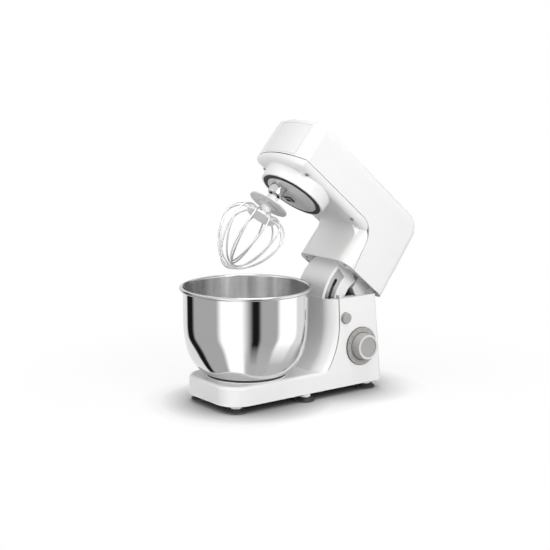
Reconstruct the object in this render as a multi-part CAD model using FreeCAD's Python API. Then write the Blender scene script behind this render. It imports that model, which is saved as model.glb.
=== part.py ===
import math
import os

import FreeCAD, Part

V = FreeCAD.Vector
O = V(0, 0, 0)
X = V(1, 0, 0)
Y = V(0, 1, 0)
Z = V(0, 0, 1)

# All sizes are in millimetres and degrees. While building, the bowl and the planetary drive share
# the axis x = 0, y = 0, the nose points to -y, the dial faces +x and the table is z = 0.
wall = 2.8
running = 0.05
clear = 0.4
beyond = 300.0
past = 5.0
open_past = 1.0
near = 0.01
fit_gap = 0.2

# Base and column
base_bottom = 14.0
plate_top = 20.0
base_top = 47.0
base_front = -86.0
base_corner = 38.0
base_edge = 6.0
base_overlap = 40.0
side_low = 74.5
side_high = 66.0
column_top = 168.5
column_front = 130.5
column_corner = 25.0
sweep_start = 130.0
sweep_radius = 116.0
sweep_end = 40.0
cover_depth = 18.4
rear_high = 235.0
rear_low = 243.0
rear_corner = 7.0
ledge_z = 165.5
ledge_thick = 2.5
ledge_x = 40.0
ledge_y = 152.0
ledge_length = 50.0
notch_gap = 2.0
tab_x = 52.0
tab_wide = 10.0
tab_inset = 2.0
tab_thick = 4.0
tab_height = 8.0
tab_edge = 1.5

# Cord gland low on the rear wall, and the control board standing on a rib of the far side
gland_z = 38.0
gland_r = 8.0
gland_bore = 3.4
gland_flange = 2.5
gland_flange_thick = 3.0
gland_flange_gap = 0.6
gland_inside = 4.0
board_x = -58.0
board_y = 172.0
board_z = 85.0
board_length = 64.0
board_height = 62.0
board_thick = 1.6
board_rib = 4.0
board_rib_height = 50.0
# Blocks on the board: offset along y and z, length, height and depth; then cans: offset, radius and depth
board_blocks = [(-18.0, -13.0, 18.0, 24.0, 11.4), (17.0, -21.0, 18.0, 12.0, 13.4)]
board_cans = [(18.0, 5.0, 6.0, 14.0), (0.0, 11.0, 4.0, 11.0)]

# Feet and screws
cup_r = 16.6
cup_lip = 14.2
cup_height = 8.0
cup_wall = 2.2
cup_swell = 2.0
cup_shoulder = 3.2
cup_draft = 0.4
cup_brim = 1.0
cup_roof = 2.5
cup_roof_drop = 0.5
cup_roof_inset = 2.0
stud_grip = 1.5
stem_r = 9.5
stud_r = 4.0
feet = [(52.0, -59.0), (62.5, 78.0), (56.0, 220.0)]
screw_head_r = 3.6
screw_head = 2.2
screw_r = 1.8
screw_sink = 0.3
post_r = 4.6
post_rib = 4.0
screw_length = 16.0
plate_screws = [(30.0, -72.0), (64.0, 44.0), (60.0, 172.0)]

# Hinge and head, drawn with the head shut
hinge_inset = 9.0
hinge_drop = 20.5
hinge_y = rear_high - hinge_inset
hinge_z = column_top - hinge_drop
tilt = 40.0
pin_r = 4.0
barrel_r = 9.5
barrel_half = 48.0
bracket_gap = 0.6
bracket_x = barrel_half + bracket_gap
bracket_wide = 8.0
bracket_low = 96.0
bracket_front = 12.0
bracket_heel = 2.0
bracket_reach = 5.0
bracket_neck = 6.0
bracket_round = 4.5
bracket_rib = 28.0
web_front = 5.0
web_rear = 3.0
web_inset = 2.0
arm_outer = 38.5
arm_wide = 12.0
arm_front = 36.0
arm_low = 8.0
head_half = 67.5
head_edge = 15.0
nose_edge = 4.0
neck_gap = 3.0
neck_height = 67.5
tray_height = 14.7
cover_height = 72.3
neck_bottom = column_top + neck_gap
tray_bottom = neck_bottom + neck_height
seam_z = tray_bottom + tray_height
head_top = seam_z + cover_height
neck_set = 8.5
neck_front = column_front - neck_set
neck_seam = 25.0
seam_corner = 13.0
neck_seam_y = neck_front + neck_seam
seam_corner_y = neck_front + seam_corner
seam_round = 35.0
nose_front = -71.0
nose_radius = 175.0
head_rear_top = 229.0
head_rear_bottom = 237.5
head_rear_round = 34.0
tray_round = 12.5
tray_overlap = 20.0
neck_corner = 22.0
throat_round = 20.0
throat_inset = 15.5
throat_splay = 14.0
throat_lap = 2.5
throat_sink = 0.15
boss_r = 13.0
boss_inset = 15.0
boss_sink = 3.0
floor_rise = 7.0
floor_z = neck_bottom + floor_rise
floor_thick = 3.0
panel_half = 39.0
panel_rise = 4.2
panel_drop = 7.5
panel_low = seam_z + panel_rise
panel_high = head_top - panel_drop
panel_lap = 2.4
panel_gap = 0.6
reveal = 0.9
cover_reveal = 1.7
reveal_depth = 1.3
panel_back = 1.6
head_screw_in = 9.0
head_screw_y = [-36.0, 93.0]
head_screws = [(head_half - head_screw_in, y) for y in head_screw_y]
head_screw_sink = 1.2

# Neck sector and its slot plate, all round the hinge axis
sector_gap = 4.0
sector_r = hinge_y - column_front - sector_gap
sector_inner = 42.0
sector_half = 36.0
sector_low = -52.0
sector_high = 30.0
plate_inset = 5.5
plate_wide = 21.5
plate_outer = sector_r - plate_inset
plate_inner = plate_outer - plate_wide
plate_thick = 1.5
plate_margin = 3.5
plate_high = 12.0
slot_inset = 10.5
slot_r = plate_outer - slot_inset
slot_wide = 6.4
guide_r = 2.4
guide_angle = -5.0
slot_margin = 3.2
slot_relief = 2.0

# Bowl and its seat
rim_r = 113.0
rim_z = 199.7
rim_bead = 3.2
rim_lap = 0.2
bowl_r = rim_r - 2 * rim_bead + rim_lap
bowl_sheet = 0.9
bowl_side_round = 190.0
bowl_side_turn = 15.0
bowl_low_round = 65.0
foot_r = 67.5
foot_wall = 2.7
foot_inner = foot_r - foot_wall
foot_z = 47.8
foot_height = 12.0
foot_show = 2.2
bayonet_r = 54.0
bayonet_wall = 3.0
bayonet_low = 35.0
lug_reach = 3.4
lug_wide = 22.0
lugs = 4
lug_root = 1.0
bayonet_turn = 45.0
notch_side = 2.0
seat_margin = 1.5
seat_outer = foot_r + seat_margin
seat_step = foot_inner - clear
bayonet_gap = 1.0
seat_inner = bayonet_r + bayonet_gap
lug_gap = 3.0
seat_sleeve = bayonet_r + lug_reach + lug_gap
sleeve_wall = 1.8
well_r = seat_sleeve + sleeve_wall
sleeve_lap = 1.0
seat_plate = well_r - sleeve_lap
seat_low = 39.0
lug_z = seat_low - clear
seat_lip = 3.0
seat_sink = 1.0
seat_skin = 0.7
seat_weld = 0.4
well_floor = 32.0
well_wall = 2.2

# Dial and release button on the +x side
dial_y = 196.3
dial_z = 80.5
bezel_r = 33.7
bezel_thick = 3.0
bezel_edge = 1.4
knob_base_r = 23.4
knob_r = 21.3
knob_face_r = 17.5
knob_length = 16.6
knob_recess = 3.0
trim_thick = 1.6
face_thick = 1.4
spindle_r = 3.0
spindle_hole = 6.0
spindle_short = 2.0
switch_r = 15.0
switch_depth = 17.0
switch_ear = 4.0
switch_ear_half = 6.0
button_y = 162.7
button_z = 134.0
button_r = 9.5
button_proud = 6.0
cap_length = 13.0
cap_edge = 1.6
button_stem_r = 4.0
yoke_x = 44.5
yoke_thick = 3.0
yoke_half = 5.0
yoke_end = 4.0
guide_tip_x = 30.5

# Planetary drive
carrier_r = 47.5
carrier_thick = 11.1
collar_drop = 21.5
carrier_proud = 2.6
collar_bottom = tray_bottom - collar_drop
carrier_low = collar_bottom - carrier_proud
carrier_high = carrier_low + carrier_thick
seal_wide = 8.5
collar_lip = 3.6
collar_draft = 2.9
collar_bore = carrier_r + seal_wide
collar_rim = collar_bore + collar_lip
collar_r = collar_rim + collar_draft
carrier_edge = 2.0
carrier_shaft_r = 8.0
carrier_bush_wall = 4.0
carrier_bush_proud = 2.0
carrier_shaft_over = 2.0
tool_turn = -12.8
tool_shaft_r = 6.0
tool_shaft_end = 1.5
mark_x = -17.0
mark_y = 12.0
mark_long = 18.0
mark_wide = 12.0
mark_line = 2.5
mark_proud = 2.5
mark_sink = 2.0
seal_gap = 0.5
seal_proud = 0.8
seal_height = 6.0
ring_teeth = 50
planet_teeth = 14
planet_module = 1.5
tool_offset = (ring_teeth - planet_teeth) * planet_module / 2
ring_back = 8.5
ring_outer = ring_teeth * planet_module / 2 + ring_back
ring_height = 10.0
case_gap = 1.5
ring_gap = 3.0
ring_head = 5.0
case_thick = 6.0
case_low = carrier_high + case_gap
ring_low = carrier_high + ring_gap
ring_high = ring_low + ring_height
case_wall_low = ring_high + ring_head
case_high = case_wall_low + case_thick
case_clear = 2.0
case_flange = 6.0
case_r = collar_bore - case_clear
flange_r = case_r + case_flange
arm_half = 22.0
arm_end = 14.0
arm_round = 12.0
main_teeth = 60
first_pinion_teeth = 12
main_module = 1.25
main_gap = 6.0
main_height = 10.0
main_low = case_high + main_gap
main_high = main_low + main_height
carrier_shaft_top = main_high + carrier_shaft_over
first_gear_teeth = 56
second_pinion_teeth = 14
first_module = 1.0
first_gap = 3.5
first_height = 8.5
first_low = main_high + first_gap
first_high = first_low + first_height
frame_gap = 3.0
frame_thick = 3.0
frame_low = first_high + frame_gap
frame_high = frame_low + frame_thick
frame_front = 26.0
frame_front_half = 44.0
frame_half = 57.0
frame_straight = 40.0
frame_round = 10.0
frame_margin = 4.0
leg_r = 5.0
front_leg_x = 40.0
front_leg_y = 104.0
rear_leg_x = 50.0
rear_leg_in = 12.0
shaft_r = 4.0
shaft_shoulder = 2.0
shaft_end = 2.0
end_play = 0.5
bush_r = 8.0
tooth_share = 0.38
tooth_tip = 0.8
tooth_inner_tip = 0.7
tooth_root = 1.15
pressure = 20.0
pulley_gap = 3.0
pulley_height = 11.0
pulley_low = frame_high + pulley_gap
pulley_high = pulley_low + pulley_height
pulley_large_r = 36.0
pulley_small_r = 9.6
pulley_hub_r = 12.0
pulley_rim = 5.0
pulley_web = 4.0
pulley_boss_r = 9.0
pulley_boss_gap = 0.6
belt_thick = 2.2
belt_gap = 0.35
belt_inset = 0.5

# Motor
motor_y = 175.0
can_r = 38.0
can_length = 75.0
can_low = frame_low - can_length
can_wall = 2.0
magnet_rise = 18.0
magnet_length = 40.0
magnet_low = can_low + magnet_rise
magnet_high = magnet_low + magnet_length
magnet_gap = 8.0
motor_hole = 12.0
armature_r = 27.0
air_gap = 2.0
magnet_inner = armature_r + air_gap
armature_slots = 12
armature_slot_depth = 9.0
armature_slot_half = 1.6
core_inset = 2.0
commutator_r = 17.0
commutator_gap = 3.0
motor_shaft_r = 3.0
motor_shaft_over = 4.0
fan_gap = 4.0
fan_r = can_r - can_wall - fan_gap
fan_blades = 8
fan_hub_r = 8.0
fan_rise = 4.0
fan_plate = 1.5
fan_height = 10.0
fan_blade = 1.6
fan_lap = 1.0

# Whisk
socket_r = 14.0
socket_bore = 10.5
socket_length = 17.5
socket_low = carrier_low - socket_length
socket_edge = 1.5
socket_roof = 4.0
cross_up = 5.5
cross_inset = 1.2
cross_r = 1.5
stem_tube_r = 9.5
stem_boss_r = 11.5
stem_boss = 8.0
whisk_shaft_r = 5.0
stem_gap = 4.0
splash_r = 35.5
splash_drop = 20.7
splash_z = socket_low - splash_drop
splash_thick = 2.0
splash_block_half = 12.0
splash_block = 4.5
hub_r = 26.5
hub_drop = 21.6
hub_thick = 5.0
hub_high = splash_z - hub_drop
hub_low = hub_high - hub_thick
hub_floor = 2.0
hub_edge = 1.8
dome_r = 23.0
dome_top_r = 12.0
dome_height = 9.0
hub_top = hub_high + dome_height
wire_r = 1.4
wire_loops = 6
wire_step = 3.0
wire_turn = 12.0
wire_length = 103.2
wire_tip = hub_low - wire_length
shoulder_r = 25.0
shoulder_drop = 28.5
shoulder_z = hub_high - shoulder_drop
shoulder_round = 31.0
shoulder_start = 106.0
shoulder_end = -10.0
tip_round = 34.0


def half_at(z):
    return side_low + (side_high - side_low) * (z - base_bottom) / (column_top - base_bottom)


lean = math.degrees(math.atan((side_low - side_high) / (column_top - base_bottom)))


def flat(z):
    return lambda u, v: V(u, v, z)


def side(x):
    return lambda u, v: V(x, u, v)


def front(y):
    return lambda u, v: V(u, y, v)


# A closed outline of straight lines whose corners may be rounded: each point is (u, v) or (u, v, radius).
def outline(points, place):
    ends = []
    for i, point in enumerate(points):
        p = V(point[0], point[1], 0)
        if len(point) == 2:
            ends.append((p, None, p))
            continue
        before = points[i - 1]
        after = points[(i + 1) % len(points)]
        a = (V(before[0], before[1], 0) - p).normalize()
        b = (V(after[0], after[1], 0) - p).normalize()
        half = a.getAngle(b) / 2
        run = point[2] / math.tan(half)
        middle = (a + b).normalize()
        top = p + middle * (point[2] / math.sin(half) - point[2])
        ends.append((p + a * run, top, p + b * run))
    edges = []
    for i, (start, top, stop) in enumerate(ends):
        if top is not None:
            arc = Part.Arc(place(start.x, start.y), place(top.x, top.y), place(stop.x, stop.y))
            edges.append(arc.toShape())
        following = ends[(i + 1) % len(ends)][0]
        if (following - stop).Length > 1e-6:
            edges.append(Part.makeLine(place(stop.x, stop.y), place(following.x, following.y)))
    return Part.Face(Part.Wire(edges))


def box(x0, x1, y0, y1, z0, z1):
    return Part.makeBox(x1 - x0, y1 - y0, z1 - z0, V(x0, y0, z0))


def rod(r, z0, z1, x=0.0, y=0.0):
    return Part.makeCylinder(r, z1 - z0, V(x, y, z0))


def tube(r0, r1, z0, z1, x=0.0, y=0.0):
    return rod(r1, z0, z1, x, y).cut(rod(r0, z0, z1, x, y))


def cross_rod(r, x0, x1, y, z):
    return Part.makeCylinder(r, x1 - x0, V(x0, y, z), X)


def turned(points):
    wire = Part.makePolygon([V(r, 0, z) for r, z in points + points[:1]])
    return Part.Face(wire).revolve(O, Z, 360)


def fused(first, *others):
    return first.fuse(list(others)).removeSplitter()


def rounded(shape, radius, chosen):
    edges = []
    for edge in shape.Edges:
        middle = edge.valueAt((edge.FirstParameter + edge.LastParameter) / 2)
        if chosen(middle):
            edges.append(edge)
    return shape.makeFillet(radius, edges)


def mirrored(shape):
    return shape.mirror(O, X)


def both_sides(shape):
    return [shape, mirrored(shape)]


# Stand: outer form drawn in by t. The inner form also runs past the open bottom and top.
def base_form(t):
    low = base_bottom - (open_past if t else 0.0)
    high = base_top - t
    front_y = base_front + t
    rear = rear_high - base_overlap
    corner = base_corner - t
    wires = []
    for z in (low, high):
        h = half_at(z) - t
        points = [(-h, rear), (-h, front_y, corner), (h, front_y, corner), (h, rear)]
        wires.append(outline(points, flat(z)).OuterWire)
    block = Part.makeLoft(wires, True, True)
    return rounded(block, base_edge - t, lambda p: p.z > high - near and p.y < rear - near)


def sweep_y(z, t):
    if z >= sweep_start:
        return column_front + t
    return column_front - sweep_radius + math.sqrt((sweep_radius + t) ** 2 - (sweep_start - z) ** 2)


def rear_y(z):
    return rear_high + (rear_low - rear_high) * (column_top - z) / (column_top - base_bottom)


def swept_edge(t, low, high):
    middle_z = (sweep_start + sweep_end) / 2
    turn = math.asin((sweep_start - sweep_end) / (sweep_radius + t))
    foot = V(0, sweep_y(sweep_end, t), sweep_end)
    bottom = V(0, foot.y - (sweep_end - low) * math.tan(turn), low)
    arc = Part.Arc(foot, V(0, sweep_y(middle_z, t), middle_z), V(0, column_front + t, sweep_start))
    upright = Part.makeLine(V(0, column_front + t, sweep_start), V(0, column_front + t, high))
    return [Part.makeLine(bottom, foot), arc.toShape(), upright], bottom


def column_form(t):
    low = base_bottom - (open_past if t else 0.0)
    high = column_top + (open_past if t else 0.0)
    edges, bottom = swept_edge(t, low, high)
    corners = [
        V(0, column_front + t, high),
        V(0, rear_y(high) - t, high),
        V(0, rear_y(low) - t, low),
        bottom,
    ]
    edges += [Part.makeLine(a, b) for a, b in zip(corners, corners[1:])]
    profile = Part.Face(Part.Wire(edges))
    profile.translate(V(-beyond / 2, 0, 0))
    wide = half_at(low) - t
    narrow = half_at(high) - t
    section = outline([(wide, low), (narrow, high), (-narrow, high), (-wide, low)], front(-beyond))
    block = profile.extrude(V(beyond, 0, 0)).common(section.extrude(V(0, 3 * beyond, 0)))
    middle = (column_front + rear_high) / 2

    def upright(p):
        return abs(p.x) > narrow - near and low < p.z < high

    block = rounded(block, column_corner - t, lambda p: upright(p) and p.y < middle)
    return rounded(block, rear_corner - t, lambda p: upright(p) and p.y > middle)


def stand_form(t):
    return fused(base_form(t), column_form(t))


# The space of the front cover, down to the base's top and cover_depth back from the column's front
def cover_form():
    middle = (base_top + sweep_start) / 2
    top = column_top + open_past
    foot_y = sweep_y(base_top, cover_depth)
    back_y = column_front + cover_depth
    start = V(0, foot_y, base_top)
    arc = Part.Arc(start, V(0, sweep_y(middle, cover_depth), middle), V(0, back_y, sweep_start))
    ends = [V(0, back_y, sweep_start), V(0, back_y, top), V(0, 0, top), V(0, 0, base_top), start]
    lines = [Part.makeLine(a, b) for a, b in zip(ends, ends[1:])]
    face = Part.Face(Part.Wire([arc.toShape()] + lines))
    face.translate(V(-beyond / 2, 0, 0))
    return face.extrude(V(beyond, 0, 0))


# A frame on the slanted +x side wall: local z is the outward normal, z = 0 the outer surface.
def on_wall(shape, y, z):
    placed = shape.copy()
    placed.rotate(O, Y, 90 - lean)
    placed.translate(V(half_at(z), y, z))
    return placed


# Head: plan form drawn in by t between two heights, nose rounded across
def head_plan(t, low, high):
    h = head_half - t
    centre = nose_front + nose_radius
    corner = centre - math.sqrt((nose_radius - t) ** 2 - h * h)
    arc = Part.Arc(V(-h, corner, low), V(0, nose_front + t, low), V(h, corner, low)).toShape()
    points = [V(h, corner, low), V(h, beyond, low), V(-h, beyond, low), V(-h, corner, low)]
    sides = [Part.makeLine(a, b) for a, b in zip(points, points[1:])]
    return Part.Face(Part.Wire([arc] + sides)).extrude(V(0, 0, high - low))


def head_rear(z):
    return head_rear_top + (head_rear_bottom - head_rear_top) * (head_top - z) / (head_top - neck_bottom)


def seam_side(points):
    face = outline(points, side(-beyond / 2))
    return face.extrude(V(beyond, 0, 0))


def upper_space():
    return seam_side([
        (-beyond, seam_z),
        (-beyond, beyond * 2),
        (beyond * 2, beyond * 2),
        (beyond * 2, neck_bottom - beyond),
        (neck_seam_y + (neck_seam_y - seam_corner_y) * beyond / (seam_z - neck_bottom), neck_bottom - beyond),
        (seam_corner_y, seam_z, seam_round),
    ])


def head_form(t):
    low = neck_bottom - (past if t else 0.0)
    high = head_top - t
    profile = seam_side([
        (nose_front - past, low),
        (nose_front - past, high),
        (head_rear(high) - t, high, head_rear_round - t),
        (head_rear(low) - t, low),
    ])
    block = head_plan(t, low - open_past, high + open_past).common(profile)
    edge = head_half - t - near
    return rounded(block, head_edge - t, lambda p: abs(p.x) > edge and p.y > 0 and low < p.z)


def head_block(t):
    return rounded(head_form(t), nose_edge - t, lambda p: p.z > head_top - t - near and p.y < 0)


# Tray under the head: plan form drawn in by t, with its lower edge rounded
def tray_form(t):
    low = tray_bottom + t
    end = neck_front + tray_overlap + (open_past if t else 0.0)
    form = head_plan(t, low, seam_z + past + t)
    form = form.cut(box(-beyond, beyond, end, 2 * beyond, 0, 2 * beyond))
    return rounded(form, tray_round - t, lambda p: p.z < low + near and p.y < end - near)


def gear_wire(teeth, module, tip, root, turn):
    pitch = teeth * module / 2
    ra = pitch + tip * module
    rr = pitch - root * module
    half = tooth_share * math.pi / teeth * pitch
    slope = math.tan(math.radians(pressure))
    at_tip = (half - abs(tip) * module * slope) / ra
    at_root = (half + abs(root) * module * slope) / rr
    points = []
    for i in range(teeth):
        a = 2 * math.pi * i / teeth + math.radians(turn)
        for step, r in ((-at_root, rr), (-at_tip, ra), (at_tip, ra), (at_root, rr)):
            points.append(V(r * math.cos(a + step), r * math.sin(a + step), 0))
    return Part.makePolygon(points + points[:1])


def gear(teeth, module, low, high, turn):
    face = Part.Face(gear_wire(teeth, module, tooth_tip, tooth_root, turn))
    face.translate(V(0, 0, low))
    return face.extrude(V(0, 0, high - low))


def ring_sector(r0, r1, half, start, stop):
    ring = cross_rod(r1, -half, half, hinge_y, hinge_z).cut(cross_rod(r0, -half, half, hinge_y, hinge_z))
    far = 2 * r1
    points = [(hinge_y, hinge_z)]
    for i in range(4):
        a = math.radians(start + (stop - start) * i / 3)
        points.append((hinge_y - far * math.cos(a), hinge_z + far * math.sin(a)))
    return ring.common(outline(points, side(-half)).extrude(V(2 * half, 0, 0)))


def round_slot(r, width, start, stop, x0, x1):
    ring = cross_rod(r + width / 2, x0, x1, hinge_y, hinge_z)
    ring = ring.cut(cross_rod(r - width / 2, x0, x1, hinge_y, hinge_z))
    points = [(hinge_y, hinge_z)]
    ends = []
    for i in range(3):
        a = math.radians(start + (stop - start) * i / 2)
        points.append((hinge_y - 2 * r * math.cos(a), hinge_z + 2 * r * math.sin(a)))
        if i != 1:
            ends.append(cross_rod(width / 2, x0, x1, hinge_y - r * math.cos(a), hinge_z + r * math.sin(a)))
    arc = ring.common(outline(points, side(x0)).extrude(V(x1 - x0, 0, 0)))
    return arc.fuse(ends)


def gland_rod(r, y0, y1):
    return Part.makeCylinder(r, y1 - y0, V(0, y0, gland_z), Y)


stand = {}
head = {}
carrier = {}
tool = {}
moving = {}

# Stand shell, split into bottom plate, front cover and lower housing
outer = stand_form(0)
inner = stand_form(wall)
shell = outer.cut(inner)
under = box(-beyond, beyond, -beyond, beyond, -beyond, plate_top)
cover_space = cover_form()
stand["column_front_cover"] = shell.common(cover_space)

floor_plate = outer.common(box(-beyond, beyond, -beyond, beyond, 0, base_bottom + wall))
rim = shell.common(under)
bottom_plate = fused(floor_plate, rim)
cover_seam = cover_form()
cover_seam.translate(V(0, cover_reveal, 0))
housing = shell.cut(under).cut(cover_space).cut(cover_seam.cut(stand_form(reveal_depth)))

seat_z = base_top - seat_sink
well = tube(well_r, well_r + well_wall, well_floor, seat_z)
well_bottom = rod(well_r + well_wall, well_floor - well_wall, well_floor)
additions = [well, well_bottom]
for x, y in plate_screws:
    post = rod(post_r, base_bottom + wall, base_top - wall / 2, x, y)
    if y > column_front:
        half = post_rib / 2
        post = fused(post, box(x, side_low, y - half, y + half, plate_top, base_top - wall / 2))
    additions += both_sides(post)
ledge = box(ledge_x, side_low, ledge_y, ledge_y + ledge_length, ledge_z - ledge_thick, ledge_z)
rib_front = hinge_y - bracket_front
rib_rear = hinge_y - bracket_heel
rib = box(bracket_x + bracket_wide, side_low, rib_front, rib_rear, bracket_low, bracket_low + bracket_rib)
board_foot = box(
    -side_low,
    board_x,
    board_y - board_rib / 2,
    board_y + board_rib / 2,
    board_z - board_rib_height / 2,
    board_z + board_rib_height / 2,
)
additions += both_sides(ledge) + both_sides(rib) + [board_foot]
inside_form = stand_form(wall / 2)
additions = [a.common(inside_form) for a in additions]
housing = fused(housing, *additions)
housing = housing.cut(rod(well_r, well_floor, base_top + past))
housing = housing.cut(rod(seat_outer, seat_z, base_top + past))
notch_half = barrel_half + clear
notch_low = hinge_z - barrel_r - notch_gap
notch = box(-notch_half, notch_half, hinge_y, rear_low + past, notch_low, column_top + past)
housing = housing.cut(notch)
housing = housing.cut(on_wall(rod(spindle_hole, -3 * wall, wall), dial_y, dial_z))
button_in = half_at(button_z) - 3 * wall
button_out = half_at(button_z) + past
housing = housing.cut(cross_rod(button_r + clear, button_in, button_out, button_y, button_z))
gland_in = rear_y(gland_z) - wall - gland_inside
gland_out = rear_y(gland_z) + gland_flange_gap
housing = housing.cut(gland_rod(gland_r, gland_in, gland_out + past))

screw_list = []
for x, y in plate_screws:
    for sign in (1, -1):
        head_seat = rod(screw_head_r + clear, base_bottom, base_bottom + screw_head, sign * x, y)
        bottom_plate = bottom_plate.cut(head_seat)
        bottom_plate = bottom_plate.cut(rod(screw_r, base_bottom, plate_top, sign * x, y))
        housing = housing.cut(rod(screw_r, base_bottom, base_bottom + screw_length, sign * x, y))
        screw_low = base_bottom + screw_sink
        screw_cap = rod(screw_head_r, screw_low, base_bottom + screw_head, sign * x, y)
        screw_list.append(fused(screw_cap, rod(screw_r, screw_low, base_bottom + screw_length, sign * x, y)))
stand["bottom_plate_screws"] = Part.makeCompound(screw_list)

# Feet: a white stem pushed into the plate and a hollow rubber cup on each
stems = []
cups = []
stem_low = cup_height - stud_grip
roof_z = stem_low - cup_roof
for x, y in feet:
    for sign in (1, -1):
        bottom_plate = bottom_plate.cut(rod(stud_r, base_bottom, plate_top, sign * x, y))
        stem = fused(rod(stem_r, cup_height, base_bottom), rod(stud_r, stem_low, base_bottom + wall))
        cup = turned([
            (cup_lip - cup_wall, 0.0),
            (cup_lip, 0.0),
            (cup_r, cup_swell),
            (cup_r - cup_draft, cup_shoulder),
            (stem_r + cup_brim, cup_height),
            (stud_r, cup_height),
            (stud_r, stem_low),
            (0.0, stem_low),
            (0.0, roof_z),
            (stem_r - cup_roof_inset, roof_z - cup_roof_drop),
        ])
        stem.translate(V(sign * x, y, 0))
        cup.translate(V(sign * x, y, 0))
        stems.append(stem)
        cups.append(cup)
stand["foot_stems"] = Part.makeCompound(stems)
stand["suction_cups"] = Part.makeCompound(cups)

# Bowl seat ring with notches that let the bowl lugs in
seat = fused(
    tube(seat_step, seat_outer, seat_z, foot_z),
    tube(seat_plate, seat_outer, seat_z, seat_z + seat_skin),
    tube(seat_sleeve, well_r, seat_low, seat_z + seat_weld),
    tube(seat_inner, well_r, seat_low, seat_low + seat_lip),
)
notch_reach = bayonet_r + lug_reach + 2 * clear
notch_half = lug_wide / 2 + notch_side
for i in range(lugs):
    entry = tube(seat_inner - open_past, notch_reach, seat_low - open_past, seat_low + seat_lip + open_past)
    entry = entry.common(box(0, beyond, -notch_half, notch_half, 0, base_top))
    entry.rotate(O, Z, bayonet_turn + 360 / lugs * i)
    seat = seat.cut(entry)
stand["bowl_seat_ring"] = seat

# Hinge: pin, and a bracket each side screwed to the column ribs
pin_half = bracket_x + bracket_wide
stand["hinge_pin"] = cross_rod(pin_r, -pin_half, pin_half, hinge_y, hinge_z)
plate_points = [
    (rib_front, bracket_low),
    (rib_rear, bracket_low),
    (hinge_y + bracket_reach, hinge_z - bracket_neck),
    (hinge_y + bracket_reach, hinge_z + bracket_reach, bracket_round),
    (rib_front, hinge_z + bracket_reach, bracket_round),
]
bracket = outline(plate_points, side(bracket_x)).extrude(V(bracket_wide, 0, 0))
bracket = bracket.cut(cross_rod(pin_r, bracket_x, pin_half, hinge_y, hinge_z))
stand["hinge_brackets"] = Part.makeCompound(both_sides(bracket))

# Dial bezel, switch and cord gland
bezel = rounded(rod(bezel_r, 0, bezel_thick), bezel_edge, lambda p: p.z > bezel_thick - near)
bezel = bezel.cut(rod(spindle_hole, 0, bezel_thick))
stand["dial_bezel"] = on_wall(bezel, dial_y, dial_z)
switch = rod(switch_r, -wall - switch_depth, -wall)
ear_x = switch_r + switch_ear
ears = box(-ear_x, ear_x, -switch_ear_half, switch_ear_half, -wall - switch_ear, -wall)
switch = fused(switch, ears).cut(rod(spindle_r + running, -wall - switch_depth, -wall))
stand["speed_switch"] = on_wall(switch, dial_y, dial_z)
gland_end = gland_out + gland_flange_thick
gland = fused(
    gland_rod(gland_r, gland_in, gland_end),
    gland_rod(gland_r + gland_flange, gland_out, gland_end),
    gland_rod(gland_r + gland_flange, gland_in, gland_in + gland_flange_thick),
)
stand["cord_gland"] = gland.cut(gland_rod(gland_bore, gland_in, gland_end))

# Control board standing on its rib, with its larger components
board_y0 = board_y - board_length / 2
board_z0 = board_z - board_height / 2
board_face = board_x + board_thick
board = box(board_x, board_face, board_y0, board_y0 + board_length, board_z0, board_z0 + board_height)
on_board = []
for along, up, length, height, depth in board_blocks:
    y0 = board_y + along - length / 2
    z0 = board_z + up - height / 2
    on_board.append(box(board_face, board_face + depth, y0, y0 + length, z0, z0 + height))
for along, up, r, depth in board_cans:
    on_board.append(cross_rod(r, board_face, board_face + depth, board_y + along, board_z + up))
stand["control_board"] = fused(board, *on_board)

# Stop tab on the ledge, near the front corner on the dial side
tab_y = ledge_y + tab_inset
tab_top = ledge_z + tab_height
tab = box(tab_x, tab_x + tab_wide, tab_y, tab_y + tab_thick, ledge_z, tab_top)
stand["head_stop_tab"] = rounded(tab, tab_edge, lambda p: p.z > tab_top - near)
stand["lower_housing"] = housing
stand["bottom_plate"] = bottom_plate

# Head covers
over = upper_space()
top_cover = head_block(0).common(over).cut(head_block(wall))
window = box(-panel_half, panel_half, nose_front - past, 0, panel_low, panel_high)
panel_window = box(
    -panel_half + panel_gap,
    panel_half - panel_gap,
    nose_front - past,
    0,
    panel_low + panel_gap,
    panel_high - panel_gap,
)
panel_skin = top_cover.common(panel_window)
lap = head_plan(wall, panel_low - panel_lap, panel_high + panel_lap)
lap = lap.cut(head_plan(wall + panel_back, panel_low - panel_lap - past, panel_high + panel_lap + past))
lap = lap.common(box(-panel_half - panel_lap, panel_half + panel_lap, nose_front - past, 0, 0, beyond * 2))
head["nose_panel"] = fused(panel_skin, lap)
top_cover = top_cover.cut(window)
above_seam = upper_space()
above_seam.translate(V(0, reveal, reveal))
top_cover = top_cover.cut(over.cut(above_seam).cut(head_form(reveal_depth)))
tray_low = tray_bottom + wall
tray_space = tray_form(wall + fit_gap)
head_middle = head_form(wall / 2)
for x, y in head_screws:
    post = fused(
        rod(post_r, tray_low, seam_z, x, y).common(tray_space),
        rod(post_r, seam_z, head_top, x, y).common(head_middle),
    )
    top_cover = fused(top_cover, *both_sides(post))

tray = tray_form(0)
tray_in = tray_form(wall)


def neck_form(t):
    h = head_half - t
    y0 = neck_front + t
    points = [(-h, beyond), (-h, y0, neck_corner - t), (h, y0, neck_corner - t), (h, beyond)]
    low = neck_bottom - (open_past if t else 0.0)
    return outline(points, flat(low)).extrude(V(0, 0, seam_z + past - low))


collar = Part.makeCone(collar_rim, collar_r, tray_low - collar_bottom, V(0, 0, collar_bottom))
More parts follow.
